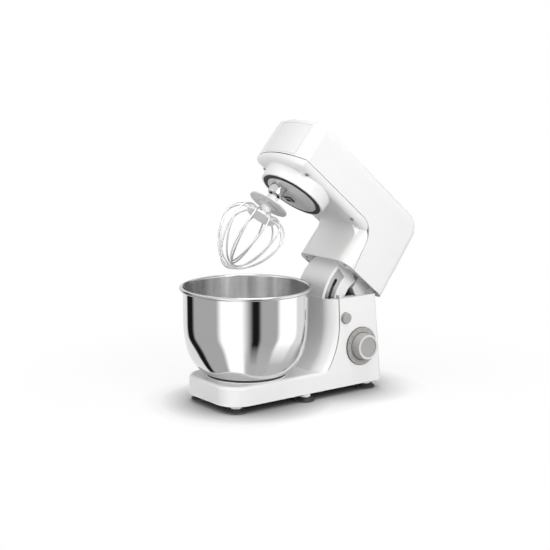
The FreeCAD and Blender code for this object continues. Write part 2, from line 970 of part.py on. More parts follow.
# Rounded throat between the tray and the neck
throat_half = head_half - throat_inset
throat_back = neck_front + neck_corner
throat_y = neck_front - throat_round
throat_z = tray_bottom - throat_round
throat_plan = [
    (-throat_half, throat_back),
    (-throat_half, neck_front),
    (-throat_half + throat_splay, throat_y),
    (throat_half - throat_splay, throat_y),
    (throat_half, neck_front),
    (throat_half, throat_back),
]
throat = outline(throat_plan, flat(throat_z)).extrude(V(0, 0, throat_round + throat_lap))
throat_hollow = cross_rod(throat_round, -beyond, beyond, throat_y + throat_sink, throat_z + throat_sink)
throat = throat.cut(throat_hollow)
lower = fused(tray, neck_form(0), collar, throat)
lower = lower.cut(tray_in).cut(neck_form(wall)).cut(rod(collar_bore, 0, seam_z)).cut(over)
head_screw_list = []
boss_x = head_half - boss_inset
boss_y = neck_front + boss_inset
boss_seat = neck_bottom + boss_sink
boss = rod(boss_r, neck_bottom, floor_z, boss_x, boss_y).common(neck_form(wall / 2))
for sign in (1, -1):
    lower = fused(lower, boss if sign > 0 else mirrored(boss))
    lower = lower.cut(rod(screw_head_r + clear, 0, boss_seat, sign * boss_x, boss_y))
    lower = lower.cut(rod(screw_r, 0, floor_z, sign * boss_x, boss_y))
    boss_cap = rod(screw_head_r, boss_seat - screw_head, boss_seat, sign * boss_x, boss_y)
    boss_thread = rod(screw_r, boss_seat, floor_z + floor_thick, sign * boss_x, boss_y)
    head_screw_list.append(fused(boss_cap, boss_thread))
for x, y in head_screws:
    for sign in (1, -1):
        seat_top = tray_bottom + head_screw_sink
        screw_end = tray_bottom + screw_length
        lower = lower.cut(rod(screw_head_r + clear, tray_bottom - past, seat_top, sign * x, y))
        lower = lower.cut(rod(screw_r, tray_bottom, tray_low + past, sign * x, y))
        top_cover = top_cover.cut(rod(screw_r, tray_bottom, screw_end, sign * x, y))
        screw_cap = rod(screw_head_r, seat_top - screw_head, seat_top, sign * x, y)
        head_screw_list.append(fused(screw_cap, rod(screw_r, tray_bottom, screw_end, sign * x, y)))
head["head_screws"] = Part.makeCompound(head_screw_list)
head["head_lower_housing"] = lower
head["head_top_cover"] = top_cover

# Hinge carrier: floor of the neck, web and barrel
floor_half = head_half - wall - fit_gap
floor_front = neck_front + wall + fit_gap
floor_rear = head_rear(floor_z) - wall - 2 * fit_gap
floor_plan = [
    (-floor_half, floor_rear),
    (-floor_half, floor_front, neck_corner - wall),
    (floor_half, floor_front, neck_corner - wall),
    (floor_half, floor_rear),
]
floor_solid = outline(floor_plan, flat(floor_z)).extrude(V(0, 0, floor_thick))
floor_solid = floor_solid.common(head_form(wall))
web_half = barrel_half - web_inset
web = box(-web_half, web_half, hinge_y - web_front, hinge_y + web_rear, hinge_z, floor_z + floor_thick)
barrel = cross_rod(barrel_r, -barrel_half, barrel_half, hinge_y, hinge_z)
arm_y = hinge_y - arm_front
arm_face = outline([
    (arm_y, floor_z + floor_thick),
    (arm_y, hinge_z + arm_low),
    (hinge_y - barrel_r, hinge_z - barrel_r / 2),
    (hinge_y + web_rear, hinge_z),
    (hinge_y + web_rear, floor_z + floor_thick),
], side(arm_outer - arm_wide))
arm = arm_face.extrude(V(arm_wide, 0, 0))
hinge_carrier = fused(floor_solid, web, barrel, *both_sides(arm))
pin_bore = cross_rod(pin_r + running, -barrel_half, barrel_half, hinge_y, hinge_z)
hinge_carrier = hinge_carrier.cut(pin_bore)
for sign in (1, -1):
    hinge_carrier = hinge_carrier.cut(rod(screw_r, 0, floor_z + floor_thick, sign * boss_x, boss_y))
head["hinge_carrier"] = hinge_carrier

# Neck sector: a channel round the hinge axis with a slot plate let into its +x side
sector = ring_sector(sector_inner, sector_r, sector_half, sector_low, sector_high)
hollow_low = sector_low - past
hollow_high = sector_high + past
hollow = ring_sector(sector_inner - past, sector_r - wall, sector_half - wall, hollow_low, hollow_high)
sector = sector.cut(hollow).common(box(-beyond, beyond, 0, beyond, 0, floor_z))
slot_low = guide_angle - tilt - slot_margin
slot_high = guide_angle + slot_margin
plate_low = slot_low - plate_margin
plate_x = sector_half - plate_thick
plate_ring = ring_sector(plate_inner, plate_outer, sector_half, plate_low, plate_high)
slot_plate = plate_ring.common(box(plate_x, sector_half, 0, beyond, 0, beyond))
slot = round_slot(slot_r, slot_wide, slot_low, slot_high, plate_x - past, sector_half + past)
slot_plate = slot_plate.cut(slot)
sector = sector.cut(plate_ring.common(box(plate_x, sector_half, 0, beyond, 0, beyond)))
relief = round_slot(slot_r, slot_wide + slot_relief, slot_low, slot_high, plate_x - past, sector_half + past)
sector = sector.cut(relief)
head["neck_sector"] = sector
head["slot_plate"] = slot_plate

# Planetary drive: seal, gear case with its ring gear, bushes and frame
seal_low = collar_bottom - seal_proud
head["collar_seal"] = tube(carrier_r + seal_gap, collar_bore, seal_low, seal_low + seal_height)
first_y = (main_teeth + first_pinion_teeth) * main_module / 2
second_y = first_y + (first_gear_teeth + second_pinion_teeth) * first_module / 2
arm_y = second_y + arm_end
arm_points = [(-arm_half, 0), (arm_half, 0), (arm_half, arm_y, arm_round), (-arm_half, arm_y, arm_round)]
case = fused(
    tube(ring_outer, case_r, case_low, case_wall_low),
    tube(case_r - open_past, flange_r, tray_low, case_wall_low).common(tray_space),
    rod(case_r, case_wall_low, case_high),
    outline(arm_points, flat(case_wall_low)).extrude(V(0, 0, case_high - case_wall_low)),
)
carrier_bush_r = carrier_shaft_r + carrier_bush_wall
case = case.cut(rod(carrier_bush_r, case_low, case_high))
for y in (first_y, second_y):
    case = case.cut(rod(bush_r, case_wall_low, case_high, 0, y))
head["gear_case"] = case
carrier_bush_top = case_high + carrier_bush_proud
head["carrier_bush"] = tube(carrier_shaft_r + running, carrier_bush_r, case_wall_low, carrier_bush_top)
ring_blank = rod(ring_outer, ring_low, ring_high)
ring_turn = 180.0 / ring_teeth - 90 + tool_turn
ring_space = Part.Face(gear_wire(ring_teeth, planet_module, -tooth_inner_tip, -tooth_root, ring_turn))
ring_space.translate(V(0, 0, ring_low))
head["ring_gear"] = ring_blank.cut(ring_space.extrude(V(0, 0, ring_high - ring_low)))
frame_rear = motor_y + can_r + frame_margin
frame_side = frame_rear - frame_straight
frame_points = [
    (-frame_front_half, frame_front, frame_round),
    (frame_front_half, frame_front, frame_round),
    (frame_half, frame_side),
    (frame_half, frame_rear, frame_round),
    (-frame_half, frame_rear, frame_round),
    (-frame_half, frame_side),
]
frame = outline(frame_points, flat(frame_low)).extrude(V(0, 0, frame_high - frame_low))
front_leg = rod(leg_r, tray_low, frame_low, front_leg_x, front_leg_y)
rear_leg = rod(leg_r, floor_z + floor_thick, frame_low, rear_leg_x, frame_rear - rear_leg_in)
legs = both_sides(front_leg) + both_sides(rear_leg)
frame = fused(frame, *legs)
bushes = []
for y, low, high in (
    (first_y, case_wall_low, case_high),
    (second_y, case_wall_low, case_high),
    (first_y, frame_low, frame_high),
    (second_y, frame_low, frame_high),
):
    frame = frame.cut(rod(bush_r, frame_low, frame_high, 0, y))
    bushes.append(tube(shaft_r + running, bush_r, low, high, 0, y))
frame = frame.cut(rod(motor_hole, frame_low, frame_high, 0, motor_y))
head["drive_frame"] = frame
head["shaft_bushes"] = Part.makeCompound(bushes)

# Motor: can hung under the frame, two magnets, and the turning rotor
can = tube(can_r - can_wall, can_r, can_low, frame_low, 0, motor_y)
can = fused(can, tube(motor_shaft_r + running, can_r - can_wall / 2, can_low, can_low + can_wall, 0, motor_y))
head["motor_can"] = can
magnet = tube(magnet_inner, can_r - can_wall, magnet_low, magnet_high, 0, motor_y)
magnet = magnet.common(box(magnet_gap, beyond, 0, beyond, 0, 2 * beyond))
head["motor_magnets"] = Part.makeCompound(both_sides(magnet))
moving["motor_shaft"] = rod(motor_shaft_r, can_low - motor_shaft_over, pulley_high + shaft_end, 0, motor_y)
core = tube(motor_shaft_r, armature_r, magnet_low + core_inset, magnet_high - core_inset)
for i in range(armature_slots):
    slot_x = armature_r - armature_slot_depth
    slot = box(slot_x, armature_r + past, -armature_slot_half, armature_slot_half, magnet_low, magnet_high)
    slot.rotate(O, Z, 360 / armature_slots * i)
    core = core.cut(slot)
core = fused(core, tube(motor_shaft_r, commutator_r, magnet_low + core_inset, frame_low - commutator_gap))
core.translate(V(0, motor_y, 0))
moving["armature"] = core
fan_low = can_low + fan_rise
fan_high = fan_low + fan_height
fan_hub = tube(motor_shaft_r, fan_hub_r, fan_low, fan_high)
fan = fused(fan_hub, tube(motor_shaft_r, fan_r, fan_low, fan_low + fan_plate))
for i in range(fan_blades):
    blade = box(fan_hub_r - fan_lap, fan_r - fan_lap, -fan_blade / 2, fan_blade / 2, fan_low, fan_high)
    blade.rotate(O, Z, 360 / fan_blades * i)
    fan = fan.fuse(blade)
fan = fan.removeSplitter()
fan.translate(V(0, motor_y, 0))
moving["cooling_fan"] = fan
moving["motor_pulley"] = tube(motor_shaft_r, pulley_small_r, pulley_low, pulley_high, 0, motor_y)

# Lay shafts: a pinion is cut on each shaft
first_turn = 180 / first_pinion_teeth - 90
first_pinion = gear(first_pinion_teeth, main_module, main_low - shaft_end, main_high + shaft_end, first_turn)
first_shaft = fused(
    first_pinion,
    rod(shaft_r, case_wall_low, frame_high),
    rod(shaft_r + shaft_shoulder, first_high, frame_low - end_play),
)
first_shaft.translate(V(0, first_y, 0))
first_gear = gear(first_gear_teeth, first_module, first_low, first_high, 90).cut(rod(shaft_r, 0, 2 * beyond))
first_gear.translate(V(0, first_y, 0))
second_turn = 180 / second_pinion_teeth - 90
second_low = first_low - shaft_end
second_high = first_high + shaft_end
second_pinion = gear(second_pinion_teeth, first_module, second_low, second_high, second_turn)
second_shaft = fused(second_pinion, rod(shaft_r, case_wall_low, pulley_high + shaft_end))
second_shaft.translate(V(0, second_y, 0))
pulley = tube(shaft_r, pulley_large_r, pulley_low, pulley_high)
pulley = pulley.cut(tube(pulley_hub_r, pulley_large_r - pulley_rim, pulley_low + pulley_web, pulley_high))
pulley = fused(pulley, tube(shaft_r, pulley_boss_r, frame_high + pulley_boss_gap, pulley_low))
pulley.translate(V(0, second_y, 0))
moving["first_shaft"] = first_shaft
moving["first_gear"] = first_gear
moving["second_shaft"] = second_shaft
moving["large_pulley"] = pulley


# Belt: a flat loop round both pulleys
def belt_loop(extra):
    r0 = pulley_large_r + extra
    r1 = pulley_small_r + extra
    length = motor_y - second_y
    a = math.acos((r0 - r1) / length)
    low = pulley_low + belt_inset
    p = V(r0 * math.sin(a), second_y + r0 * math.cos(a), low)
    q = V(r1 * math.sin(a), motor_y + r1 * math.cos(a), low)
    p_left = V(-p.x, p.y, p.z)
    q_left = V(-q.x, q.y, q.z)
    edges = [
        Part.makeLine(p, q),
        Part.Arc(q, V(0, motor_y + r1, q.z), q_left).toShape(),
        Part.makeLine(q_left, p_left),
        Part.Arc(p_left, V(0, second_y - r0, p.z), p).toShape(),
    ]
    return Part.Face(Part.Wire(edges)).extrude(V(0, 0, pulley_high - belt_inset - low))


head["drive_belt"] = belt_loop(belt_gap + belt_thick).cut(belt_loop(belt_gap))

# Carrier: disc with the tool boss and a plain raised frame on its face, shaft and main gear
tool_angle = math.radians(-90 + tool_turn)
tool_x = tool_offset * math.cos(tool_angle)
tool_y = tool_offset * math.sin(tool_angle)
disc = rounded(rod(carrier_r, carrier_low, carrier_high), carrier_edge, lambda p: p.z < carrier_low + near)
mark_x0 = mark_x - mark_long / 2
mark_y0 = mark_y - mark_wide / 2
mark_x1 = mark_x0 + mark_long
mark_y1 = mark_y0 + mark_wide
raised = box(mark_x0, mark_x1, mark_y0, mark_y1, carrier_low - mark_proud, carrier_high)
mark_hole = box(
    mark_x0 + mark_line,
    mark_x1 - mark_line,
    mark_y0 + mark_line,
    mark_y1 - mark_line,
    carrier_low - mark_proud,
    carrier_low + mark_sink,
)
disc = fused(disc, raised, rod(carrier_shaft_r, carrier_low, carrier_shaft_top)).cut(mark_hole)
disc = disc.cut(rod(tool_shaft_r + running, 0, 2 * beyond, tool_x, tool_y))
carrier["planet_carrier"] = disc
main_gear = gear(main_teeth, main_module, main_low, main_high, 90)
carrier["main_gear"] = main_gear.cut(rod(carrier_shaft_r, 0, 2 * beyond))

# Tool, built on its own axis and then set over to the tool axis
pinion_turn = -90 + tool_turn
planet = gear(planet_teeth, planet_module, ring_low, ring_high, pinion_turn)
planet = planet.cut(rod(tool_shaft_r, 0, 2 * beyond))
socket_top = carrier_low - socket_roof
socket = rod(socket_r, socket_low, carrier_low - clear)
socket = rounded(socket, socket_edge, lambda p: p.z < socket_low + near)
socket = fused(socket, rod(tool_shaft_r, socket_top, ring_high + tool_shaft_end))
socket = socket.cut(rod(socket_bore, socket_low - past, socket_top))
cross_z = socket_low + cross_up
cross_half = socket_r - cross_inset
socket = socket.cut(cross_rod(cross_r, -cross_half, cross_half, 0, cross_z))
cross_pin = cross_rod(cross_r, -cross_half, cross_half, 0, cross_z)
tool_stem = fused(
    rod(whisk_shaft_r, splash_z, socket_top - clear),
    rod(stem_tube_r, hub_top, splash_z),
    rod(stem_boss_r, splash_z + splash_thick, splash_z + splash_thick + stem_boss),
    rod(stem_tube_r, splash_z + splash_thick, socket_low - stem_gap),
    rod(whisk_shaft_r, hub_low + hub_floor, hub_top),
)
tool_stem = tool_stem.cut(cross_rod(cross_r, -cross_half, cross_half, 0, cross_z))
block_low = splash_z - splash_block
half_block = splash_block_half
block = box(-half_block, half_block, -half_block, half_block, block_low, splash_z)
splash = fused(rod(splash_r, splash_z, splash_z + splash_thick), block)
splash = splash.cut(rod(whisk_shaft_r, 0, beyond)).cut(rod(stem_tube_r, 0, splash_z))
whisk_hub = rod(hub_r, hub_low, hub_high)
whisk_hub = rounded(whisk_hub, hub_edge, lambda p: math.hypot(p.x, p.y) > hub_r - near)
whisk_hub = fused(whisk_hub, Part.makeCone(dome_r, dome_top_r, dome_height, V(0, 0, hub_high)))
whisk_hub = whisk_hub.cut(rod(whisk_shaft_r, hub_low + hub_floor, hub_top))


# One leg of a wire loop: shoulder arc, long side arc and half of the tip arc, in the plane y = 0
def loop_path(tip):
    end = math.radians(shoulder_end)
    joint_r = shoulder_r + shoulder_round * math.cos(end)
    joint_z = shoulder_z + shoulder_round * math.sin(end)
    low = joint_r
    high = 2 * beyond
    for _ in range(60):
        big = (low + high) / 2
        turn = -math.acos((big * math.cos(end) - joint_r) / (big - tip_round))
        centre = V(joint_r - big * math.cos(end), 0, joint_z - big * math.sin(end))
        reached = centre.z + (big - tip_round) * math.sin(turn) - tip_round
        if reached > tip:
            low = big
        else:
            high = big

    def at(c, r, a):
        return V(c.x + r * math.cos(a), 0, c.z + r * math.sin(a))

    shoulder = V(shoulder_r, 0, shoulder_z)
    begin = math.radians(shoulder_start)
    start = at(shoulder, shoulder_round, begin)
    joint = at(shoulder, shoulder_round, end)
    base = V(0, 0, tip + tip_round)
    first = Part.Arc(start, at(shoulder, shoulder_round, (begin + end) / 2), joint)
    second = Part.Arc(joint, at(centre, big, (end + turn) / 2), at(centre, big, turn))
    flip = -math.pi - turn
    third = Part.Arc(at(centre, big, turn), V(0, 0, tip), at(base, tip_round, flip))
    right = [first.toShape(), second.toShape()]
    left = [edge.mirror(O, X) for edge in reversed(right)]
    return Part.Wire(Part.__sortEdges__(right + [third.toShape()] + left)), start, begin


wires = []
for i in range(wire_loops):
    path, begin, angle = loop_path(wire_tip + wire_step * i)
    tangent = V(math.sin(angle), 0, -math.cos(angle))
    section = Part.Wire(Part.makeCircle(wire_r, begin, tangent))
    loop = path.makePipeShell([section], True, False)
    loop.rotate(O, Z, 180 / wire_loops * i + wire_turn)
    wires.append(loop)
tool["whisk_wires"] = Part.makeCompound(wires)
tool["whisk_hub"] = whisk_hub.cut(wires)
tool["splash_disc"] = splash
tool["whisk_stem"] = tool_stem
tool["tool_cross_pin"] = cross_pin
tool["tool_socket"] = socket
tool["planet_gear"] = planet
for shape in tool.values():
    shape.translate(V(tool_x, tool_y, 0))

# Knob: body with spindle, trim ring and face
knob_low = bezel_thick + clear
knob_high = knob_low + knob_length
recess = knob_high - knob_recess
trim_low = knob_high - trim_thick
knob = turned([
    (0, knob_low),
    (knob_base_r, knob_low),
    (knob_r, trim_low),
    (knob_face_r, trim_low),
    (knob_face_r, recess),
    (0, recess),
])
knob = fused(knob, rod(spindle_r, -wall - switch_depth + spindle_short, recess))
moving["speed_knob"] = on_wall(knob, dial_y, dial_z)
moving["knob_trim_ring"] = on_wall(tube(knob_face_r, knob_r, trim_low, knob_high), dial_y, dial_z)
moving["knob_face"] = on_wall(rod(knob_face_r, recess, recess + face_thick), dial_y, dial_z)

# Release button with its yoke; the guide pin runs in the slot of the plate
guide_y = hinge_y - slot_r * math.cos(math.radians(guide_angle))
guide_z = hinge_z + slot_r * math.sin(math.radians(guide_angle))
cap_x = half_at(button_z) + button_proud
cap_low = cap_x - cap_length
cap = rounded(cross_rod(button_r, cap_low, cap_x, button_y, button_z), cap_edge, lambda p: p.x > cap_x - near)
stem_x = yoke_x + yoke_thick
moving["release_button"] = fused(cap, cross_rod(button_stem_r, stem_x, cap_low, button_y, button_z))
yoke_length = math.hypot(button_y - guide_y, guide_z - button_z) + yoke_end
yoke = box(yoke_x, stem_x, -yoke_half, yoke_length, -yoke_half, yoke_half)
yoke.rotate(O, X, 180 - math.degrees(math.atan2(guide_z - button_z, button_y - guide_y)))
yoke.translate(V(0, button_y, button_z))
moving["latch_yoke"] = fused(yoke, cross_rod(guide_r, guide_tip_x, stem_x, guide_y, guide_z))

# Bowl: sheet steel with a rolled rim, a welded foot ring and a ring of bayonet lugs
turn_side = math.radians(bowl_side_turn)
round_gap = bowl_side_round - bowl_low_round
low_x = bowl_r - bowl_side_round + round_gap * math.cos(turn_side)
low_z = foot_z + foot_show + math.sqrt(bowl_low_round ** 2 - (foot_r - low_x) ** 2)
bowl_straight = low_z + round_gap * math.sin(turn_side)
side_c = V(bowl_r - bowl_side_round, 0, bowl_straight)


def bowl_profile(t):
    def at(c, r, a):
        return V(c.x + r * math.cos(a), 0, c.z - r * math.sin(a))

    low_c = at(side_c, round_gap, turn_side)
    last = math.pi / 2
    floor = low_c.z - bowl_low_round + t
    r1 = bowl_side_round - t
    r2 = bowl_low_round - t
    top = V(bowl_r - t, 0, rim_z - rim_bead)
    straight = V(bowl_r - t, 0, bowl_straight)
    side_arc = Part.Arc(straight, at(side_c, r1, turn_side / 2), at(side_c, r1, turn_side))
    low_arc = Part.Arc(at(low_c, r2, turn_side), at(low_c, r2, (turn_side + last) / 2), at(low_c, r2, last))
    foot = V(0, 0, floor)
    lines = [Part.makeLine(top, straight), side_arc.toShape(), low_arc.toShape()]
    return lines + [Part.makeLine(at(low_c, r2, last), foot)], top, foot


outer_edges, outer_top, outer_foot = bowl_profile(0)
inner_edges, inner_top, inner_foot = bowl_profile(bowl_sheet)
joins = [Part.makeLine(outer_foot, inner_foot), Part.makeLine(inner_top, outer_top)]
sheet = Part.Face(Part.Wire(Part.__sortEdges__(outer_edges + inner_edges + joins))).revolve(O, Z, 360)
middle_top = V(0, 0, outer_top.z)
closing = [Part.makeLine(outer_foot, middle_top), Part.makeLine(middle_top, outer_top)]
filled = Part.Face(Part.Wire(Part.__sortEdges__(outer_edges + closing))).revolve(O, Z, 360)
bead = Part.makeTorus(rim_r - rim_bead, rim_bead, V(0, 0, rim_z - rim_bead))
moving["bowl_shell"] = fused(sheet, bead)
moving["bowl_foot"] = tube(foot_inner, foot_r, foot_z, foot_z + foot_height).cut(filled)
bayonet = tube(bayonet_r - bayonet_wall, bayonet_r, bayonet_low, base_top)
for i in range(lugs):
    lug = tube(bayonet_r - lug_root, bayonet_r + lug_reach, bayonet_low, lug_z)
    lug = lug.common(box(0, beyond, -lug_wide / 2, lug_wide / 2, 0, beyond))
    lug.rotate(O, Z, 360 / lugs * i)
    bayonet = fused(bayonet, lug)
moving["bowl_bayonet"] = bayonet.cut(filled)

# Raise the head and all that rides in it, then put the origin under the middle of the part
raised_nodes = ["motor_shaft", "armature", "cooling_fan", "motor_pulley"]
raised_nodes += ["first_shaft", "first_gear", "second_shaft", "large_pulley"]
hinge = V(0, hinge_y, hinge_z)
for group in (head, carrier, tool):
    for shape in group.values():
        shape.rotate(hinge, X, -tilt)
for name in raised_nodes:
    moving[name].rotate(hinge, X, -tilt)

turn = math.radians(tilt)
rear_lean = math.atan((head_rear_bottom - head_rear_top) / (head_top - neck_bottom))
corner_z = head_top - head_rear_round
corner_y = head_rear(corner_z) - head_rear_round / math.cos(rear_lean)
corner_back = (corner_y - hinge_y) * math.cos(turn) + (corner_z - hinge_z) * math.sin(turn)
rearmost = hinge_y + corner_back + head_rear_round
middle_y = (rearmost - rim_r) / 2
os.makedirs("parts", exist_ok=True)
for group in (stand, head, carrier, tool, moving):
    for name, shape in group.items():
        shape.translate(V(0, -middle_y, 0))
        shape.exportStep("parts/" + name + ".step")
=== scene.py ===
import math

import bmesh
import bpy
from mathutils import Matrix, Vector


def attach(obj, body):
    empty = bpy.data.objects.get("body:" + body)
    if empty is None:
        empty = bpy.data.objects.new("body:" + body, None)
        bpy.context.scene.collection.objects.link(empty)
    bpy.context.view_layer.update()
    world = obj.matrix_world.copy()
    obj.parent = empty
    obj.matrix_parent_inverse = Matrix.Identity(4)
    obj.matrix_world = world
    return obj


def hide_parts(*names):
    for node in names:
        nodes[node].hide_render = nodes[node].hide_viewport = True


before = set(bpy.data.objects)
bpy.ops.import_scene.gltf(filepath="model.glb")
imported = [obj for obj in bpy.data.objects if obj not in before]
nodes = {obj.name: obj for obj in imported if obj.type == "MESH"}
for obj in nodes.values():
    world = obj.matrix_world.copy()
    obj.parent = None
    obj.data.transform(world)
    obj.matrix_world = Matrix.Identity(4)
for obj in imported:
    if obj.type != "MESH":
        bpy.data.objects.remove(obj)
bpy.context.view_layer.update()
scene = bpy.context.scene
scene.view_settings.view_transform = "Standard"
print("stage 1: frame loaded,", len(nodes), "pieces")

# Where the main axes of the mixer are, in metres
layout = {
    "bowlAxis": Vector((0, -0.108604, 0)),
    "hinge": Vector((0, 0.117396, 0.148)),
    "headTilt": math.radians(40),
    "same": 1e-6,                         # points nearer than this are one point
}

# Camera
cameraSet = {
    "heading": math.radians(35.84),   # round the bowl, from the dial side towards the nose
    "yaw": math.radians(1.27),
    "pitch": math.radians(10.31),
    "away": 2.2057,
    "height": 0.61865,
    "lens": 87.05,
    "sensor": 36.0,
    "clip": (0.05, 60),
}


def placeCamera(c):
    side = Vector((math.sin(c["heading"]), math.cos(c["heading"]), 0))
    away = Vector((-math.cos(c["heading"]), math.sin(c["heading"]), 0))
    level = away * math.cos(c["yaw"]) + side * math.sin(c["yaw"])
    right = side * math.cos(c["yaw"]) - away * math.sin(c["yaw"])
    ahead = level * math.cos(c["pitch"]) - Vector((0, 0, math.sin(c["pitch"])))
    up = right.cross(ahead)
    spot = layout["bowlAxis"] - away * c["away"] + Vector((0, 0, c["height"]))
    data = bpy.data.cameras.new("camera")
    data.sensor_width = c["sensor"]
    data.lens = c["lens"]
    data.clip_start, data.clip_end = c["clip"]
    camera = bpy.data.objects.new("camera", data)
    scene.collection.objects.link(camera)
    turn = Matrix((right, up, -ahead)).transposed().to_4x4()
    camera.matrix_world = Matrix.Translation(spot) @ turn
    scene.camera = camera


placeCamera(cameraSet)
print("stage 2: camera placed")


# Shader helpers

def newGroup(name, inputs, outputs):
    tree = bpy.data.node_groups.new(name, "ShaderNodeTree")
    for label, kind, value in inputs:
        socket = tree.interface.new_socket(label, in_out="INPUT", socket_type=kind)
        if value is not None:
            socket.default_value = value
    for label, kind in outputs:
        tree.interface.new_socket(label, in_out="OUTPUT", socket_type=kind)
    source = tree.nodes.new("NodeGroupInput")
    sink = tree.nodes.new("NodeGroupOutput")
    return tree, source, sink


def addNode(tree, kind, links=None, values=None, **settings):
    node = tree.nodes.new(kind)
    for key, value in settings.items():
        setattr(node, key, value)
    for key, value in (values or {}).items():
        node.inputs[key].default_value = value
    for key, socket in (links or {}).items():
        tree.links.new(socket, node.inputs[key])
    return node


def sumOf(tree, operation, a, b):
    node = tree.nodes.new("ShaderNodeMath")
    node.operation = operation
    for i, item in enumerate((a, b)):
        if isinstance(item, (int, float)):
            node.inputs[i].default_value = item
        else:
            tree.links.new(item, node.inputs[i])
    return node.outputs[0]


def lengthOf(tree, a, b):
    squares = sumOf(tree, "ADD", sumOf(tree, "MULTIPLY", a, a), sumOf(tree, "MULTIPLY", b, b))
    return sumOf(tree, "SQRT", squares, 0)


def mapped(tree, value, low, high, toLow, toHigh):
    node = addNode(tree, "ShaderNodeMapRange", {"Value": value})
    node.inputs["From Min"].default_value = low
    node.inputs["From Max"].default_value = high
    for key, item in (("To Min", toLow), ("To Max", toHigh)):
        if isinstance(item, (int, float)):
            node.inputs[key].default_value = item
        else:
            tree.links.new(item, node.inputs[key])
    return node.outputs[0]


def mixedColour(tree, share, a, b):
    node = tree.nodes.new("ShaderNodeMix")
    node.data_type = "RGBA"
    tree.links.new(share, node.inputs[0])
    for i, item in ((6, a), (7, b)):
        if isinstance(item, tuple):
            node.inputs[i].default_value = item
        else:
            tree.links.new(item, node.inputs[i])
    return node.outputs[2]


# Moulded plastic: fine spark texture, slow flow marks and faint handling smears
def mouldGroup():
    tree, source, sink = newGroup(
        "mouldedGrain",
        [("Point", "NodeSocketVector", None), ("Colour", "NodeSocketColor", (0.8, 0.8, 0.8, 1)),
         ("Grain Size", "NodeSocketFloat", 1800.0), ("Tone Change", "NodeSocketFloat", 0.02),
         ("Roughness", "NodeSocketFloat", 0.3), ("Roughness Change", "NodeSocketFloat", 0.06)],
        [("Colour", "NodeSocketColor"), ("Roughness", "NodeSocketFloat"), ("Height", "NodeSocketFloat")])
    point = source.outputs["Point"]
    grain = addNode(tree, "ShaderNodeTexNoise", {"Vector": point, "Scale": source.outputs["Grain Size"]},
                    {"Detail": 2.0, "Roughness": 0.6})
    flow = addNode(tree, "ShaderNodeTexNoise", {"Vector": point}, {"Scale": 9.0, "Detail": 3.0})
    smear = addNode(tree, "ShaderNodeTexNoise", {"Vector": point}, {"Scale": 38.0, "Detail": 4.0, "Distortion": 0.8})
    tone = sumOf(tree, "MULTIPLY", sumOf(tree, "SUBTRACT", flow.outputs[0], 0.5), source.outputs["Tone Change"])
    shift = addNode(tree, "ShaderNodeHueSaturation", {"Color": source.outputs["Colour"],
                                                      "Value": sumOf(tree, "ADD", tone, 1.0)})
    rough = sumOf(tree, "MULTIPLY", sumOf(tree, "SUBTRACT", smear.outputs[0], 0.5),
                  source.outputs["Roughness Change"])
    tree.links.new(shift.outputs[0], sink.inputs["Colour"])
    tree.links.new(sumOf(tree, "ADD", rough, source.outputs["Roughness"]), sink.inputs["Roughness"])
    tree.links.new(grain.outputs[0], sink.inputs["Height"])
    return tree


# Metal: turning or drawing lines along one direction, with fine scratches
def metalGroup():
    tree, source, sink = newGroup(
        "workedMetal",
        [("Point", "NodeSocketVector", None), ("Colour", "NodeSocketColor", (0.6, 0.6, 0.6, 1)),
         ("Tone Change", "NodeSocketFloat", 0.1), ("Roughness", "NodeSocketFloat", 0.25),
         ("Roughness Change", "NodeSocketFloat", 0.1), ("Line Size", "NodeSocketFloat", 900.0)],
        [("Colour", "NodeSocketColor"), ("Roughness", "NodeSocketFloat"), ("Height", "NodeSocketFloat")])
    point = source.outputs["Point"]
    lines = addNode(tree, "ShaderNodeTexNoise", {"Vector": point, "Scale": source.outputs["Line Size"]},
                    {"Detail": 2.0})
    cloud = addNode(tree, "ShaderNodeTexNoise", {"Vector": point}, {"Scale": 22.0, "Detail": 4.0})
    both = sumOf(tree, "ADD", sumOf(tree, "MULTIPLY", lines.outputs[0], 0.6),
                 sumOf(tree, "MULTIPLY", cloud.outputs[0], 0.4))
    centred = sumOf(tree, "SUBTRACT", both, 0.5)
    shift = addNode(tree, "ShaderNodeHueSaturation", {"Color": source.outputs["Colour"], "Value": sumOf(
        tree, "ADD", sumOf(tree, "MULTIPLY", centred, source.outputs["Tone Change"]), 1.0)})
    rough = sumOf(tree, "ADD", sumOf(tree, "MULTIPLY", centred, source.outputs["Roughness Change"]),
                  source.outputs["Roughness"])
    tree.links.new(shift.outputs[0], sink.inputs["Colour"])
    tree.links.new(rough, sink.inputs["Roughness"])
    tree.links.new(lines.outputs[0], sink.inputs["Height"])
    return tree


mouldedGrain = mouldGroup()
workedMetal = metalGroup()


def startMaterial(name):
    material = bpy.data.materials.new(name)
    material.use_nodes = True
    tree = material.node_tree
    shader = tree.nodes["Principled BSDF"]
    place = tree.nodes.new("ShaderNodeTexCoord").outputs["Object"]
    return material, tree, shader, place


def useGroup(tree, group, shader, point, values, bump=0.0, reach=0.0):
    node = addNode(tree, "ShaderNodeGroup", {"Point": point}, None, node_tree=group)
    for key, value in values.items():
        node.inputs[key].default_value = value
    tree.links.new(node.outputs["Colour"], shader.inputs["Base Color"])
    tree.links.new(node.outputs["Roughness"], shader.inputs["Roughness"])
    if bump > 0:
        raised = addNode(tree, "ShaderNodeBump", {"Height": node.outputs["Height"]},
                         {"Strength": bump, "Distance": reach})
        tree.links.new(raised.outputs[0], shader.inputs["Normal"])


def plastic(name, colour, rough, grain=1800.0, bump=0.05, tone=0.02, change=0.06, specular=0.5):
    material, tree, shader, place = startMaterial(name)
    useGroup(tree, mouldedGrain, shader, place,
             {"Colour": colour + (1,), "Grain Size": grain, "Tone Change": tone,
              "Roughness": rough, "Roughness Change": change}, bump, reach=0.0002)
    shader.inputs["Specular IOR Level"].default_value = specular
    return material


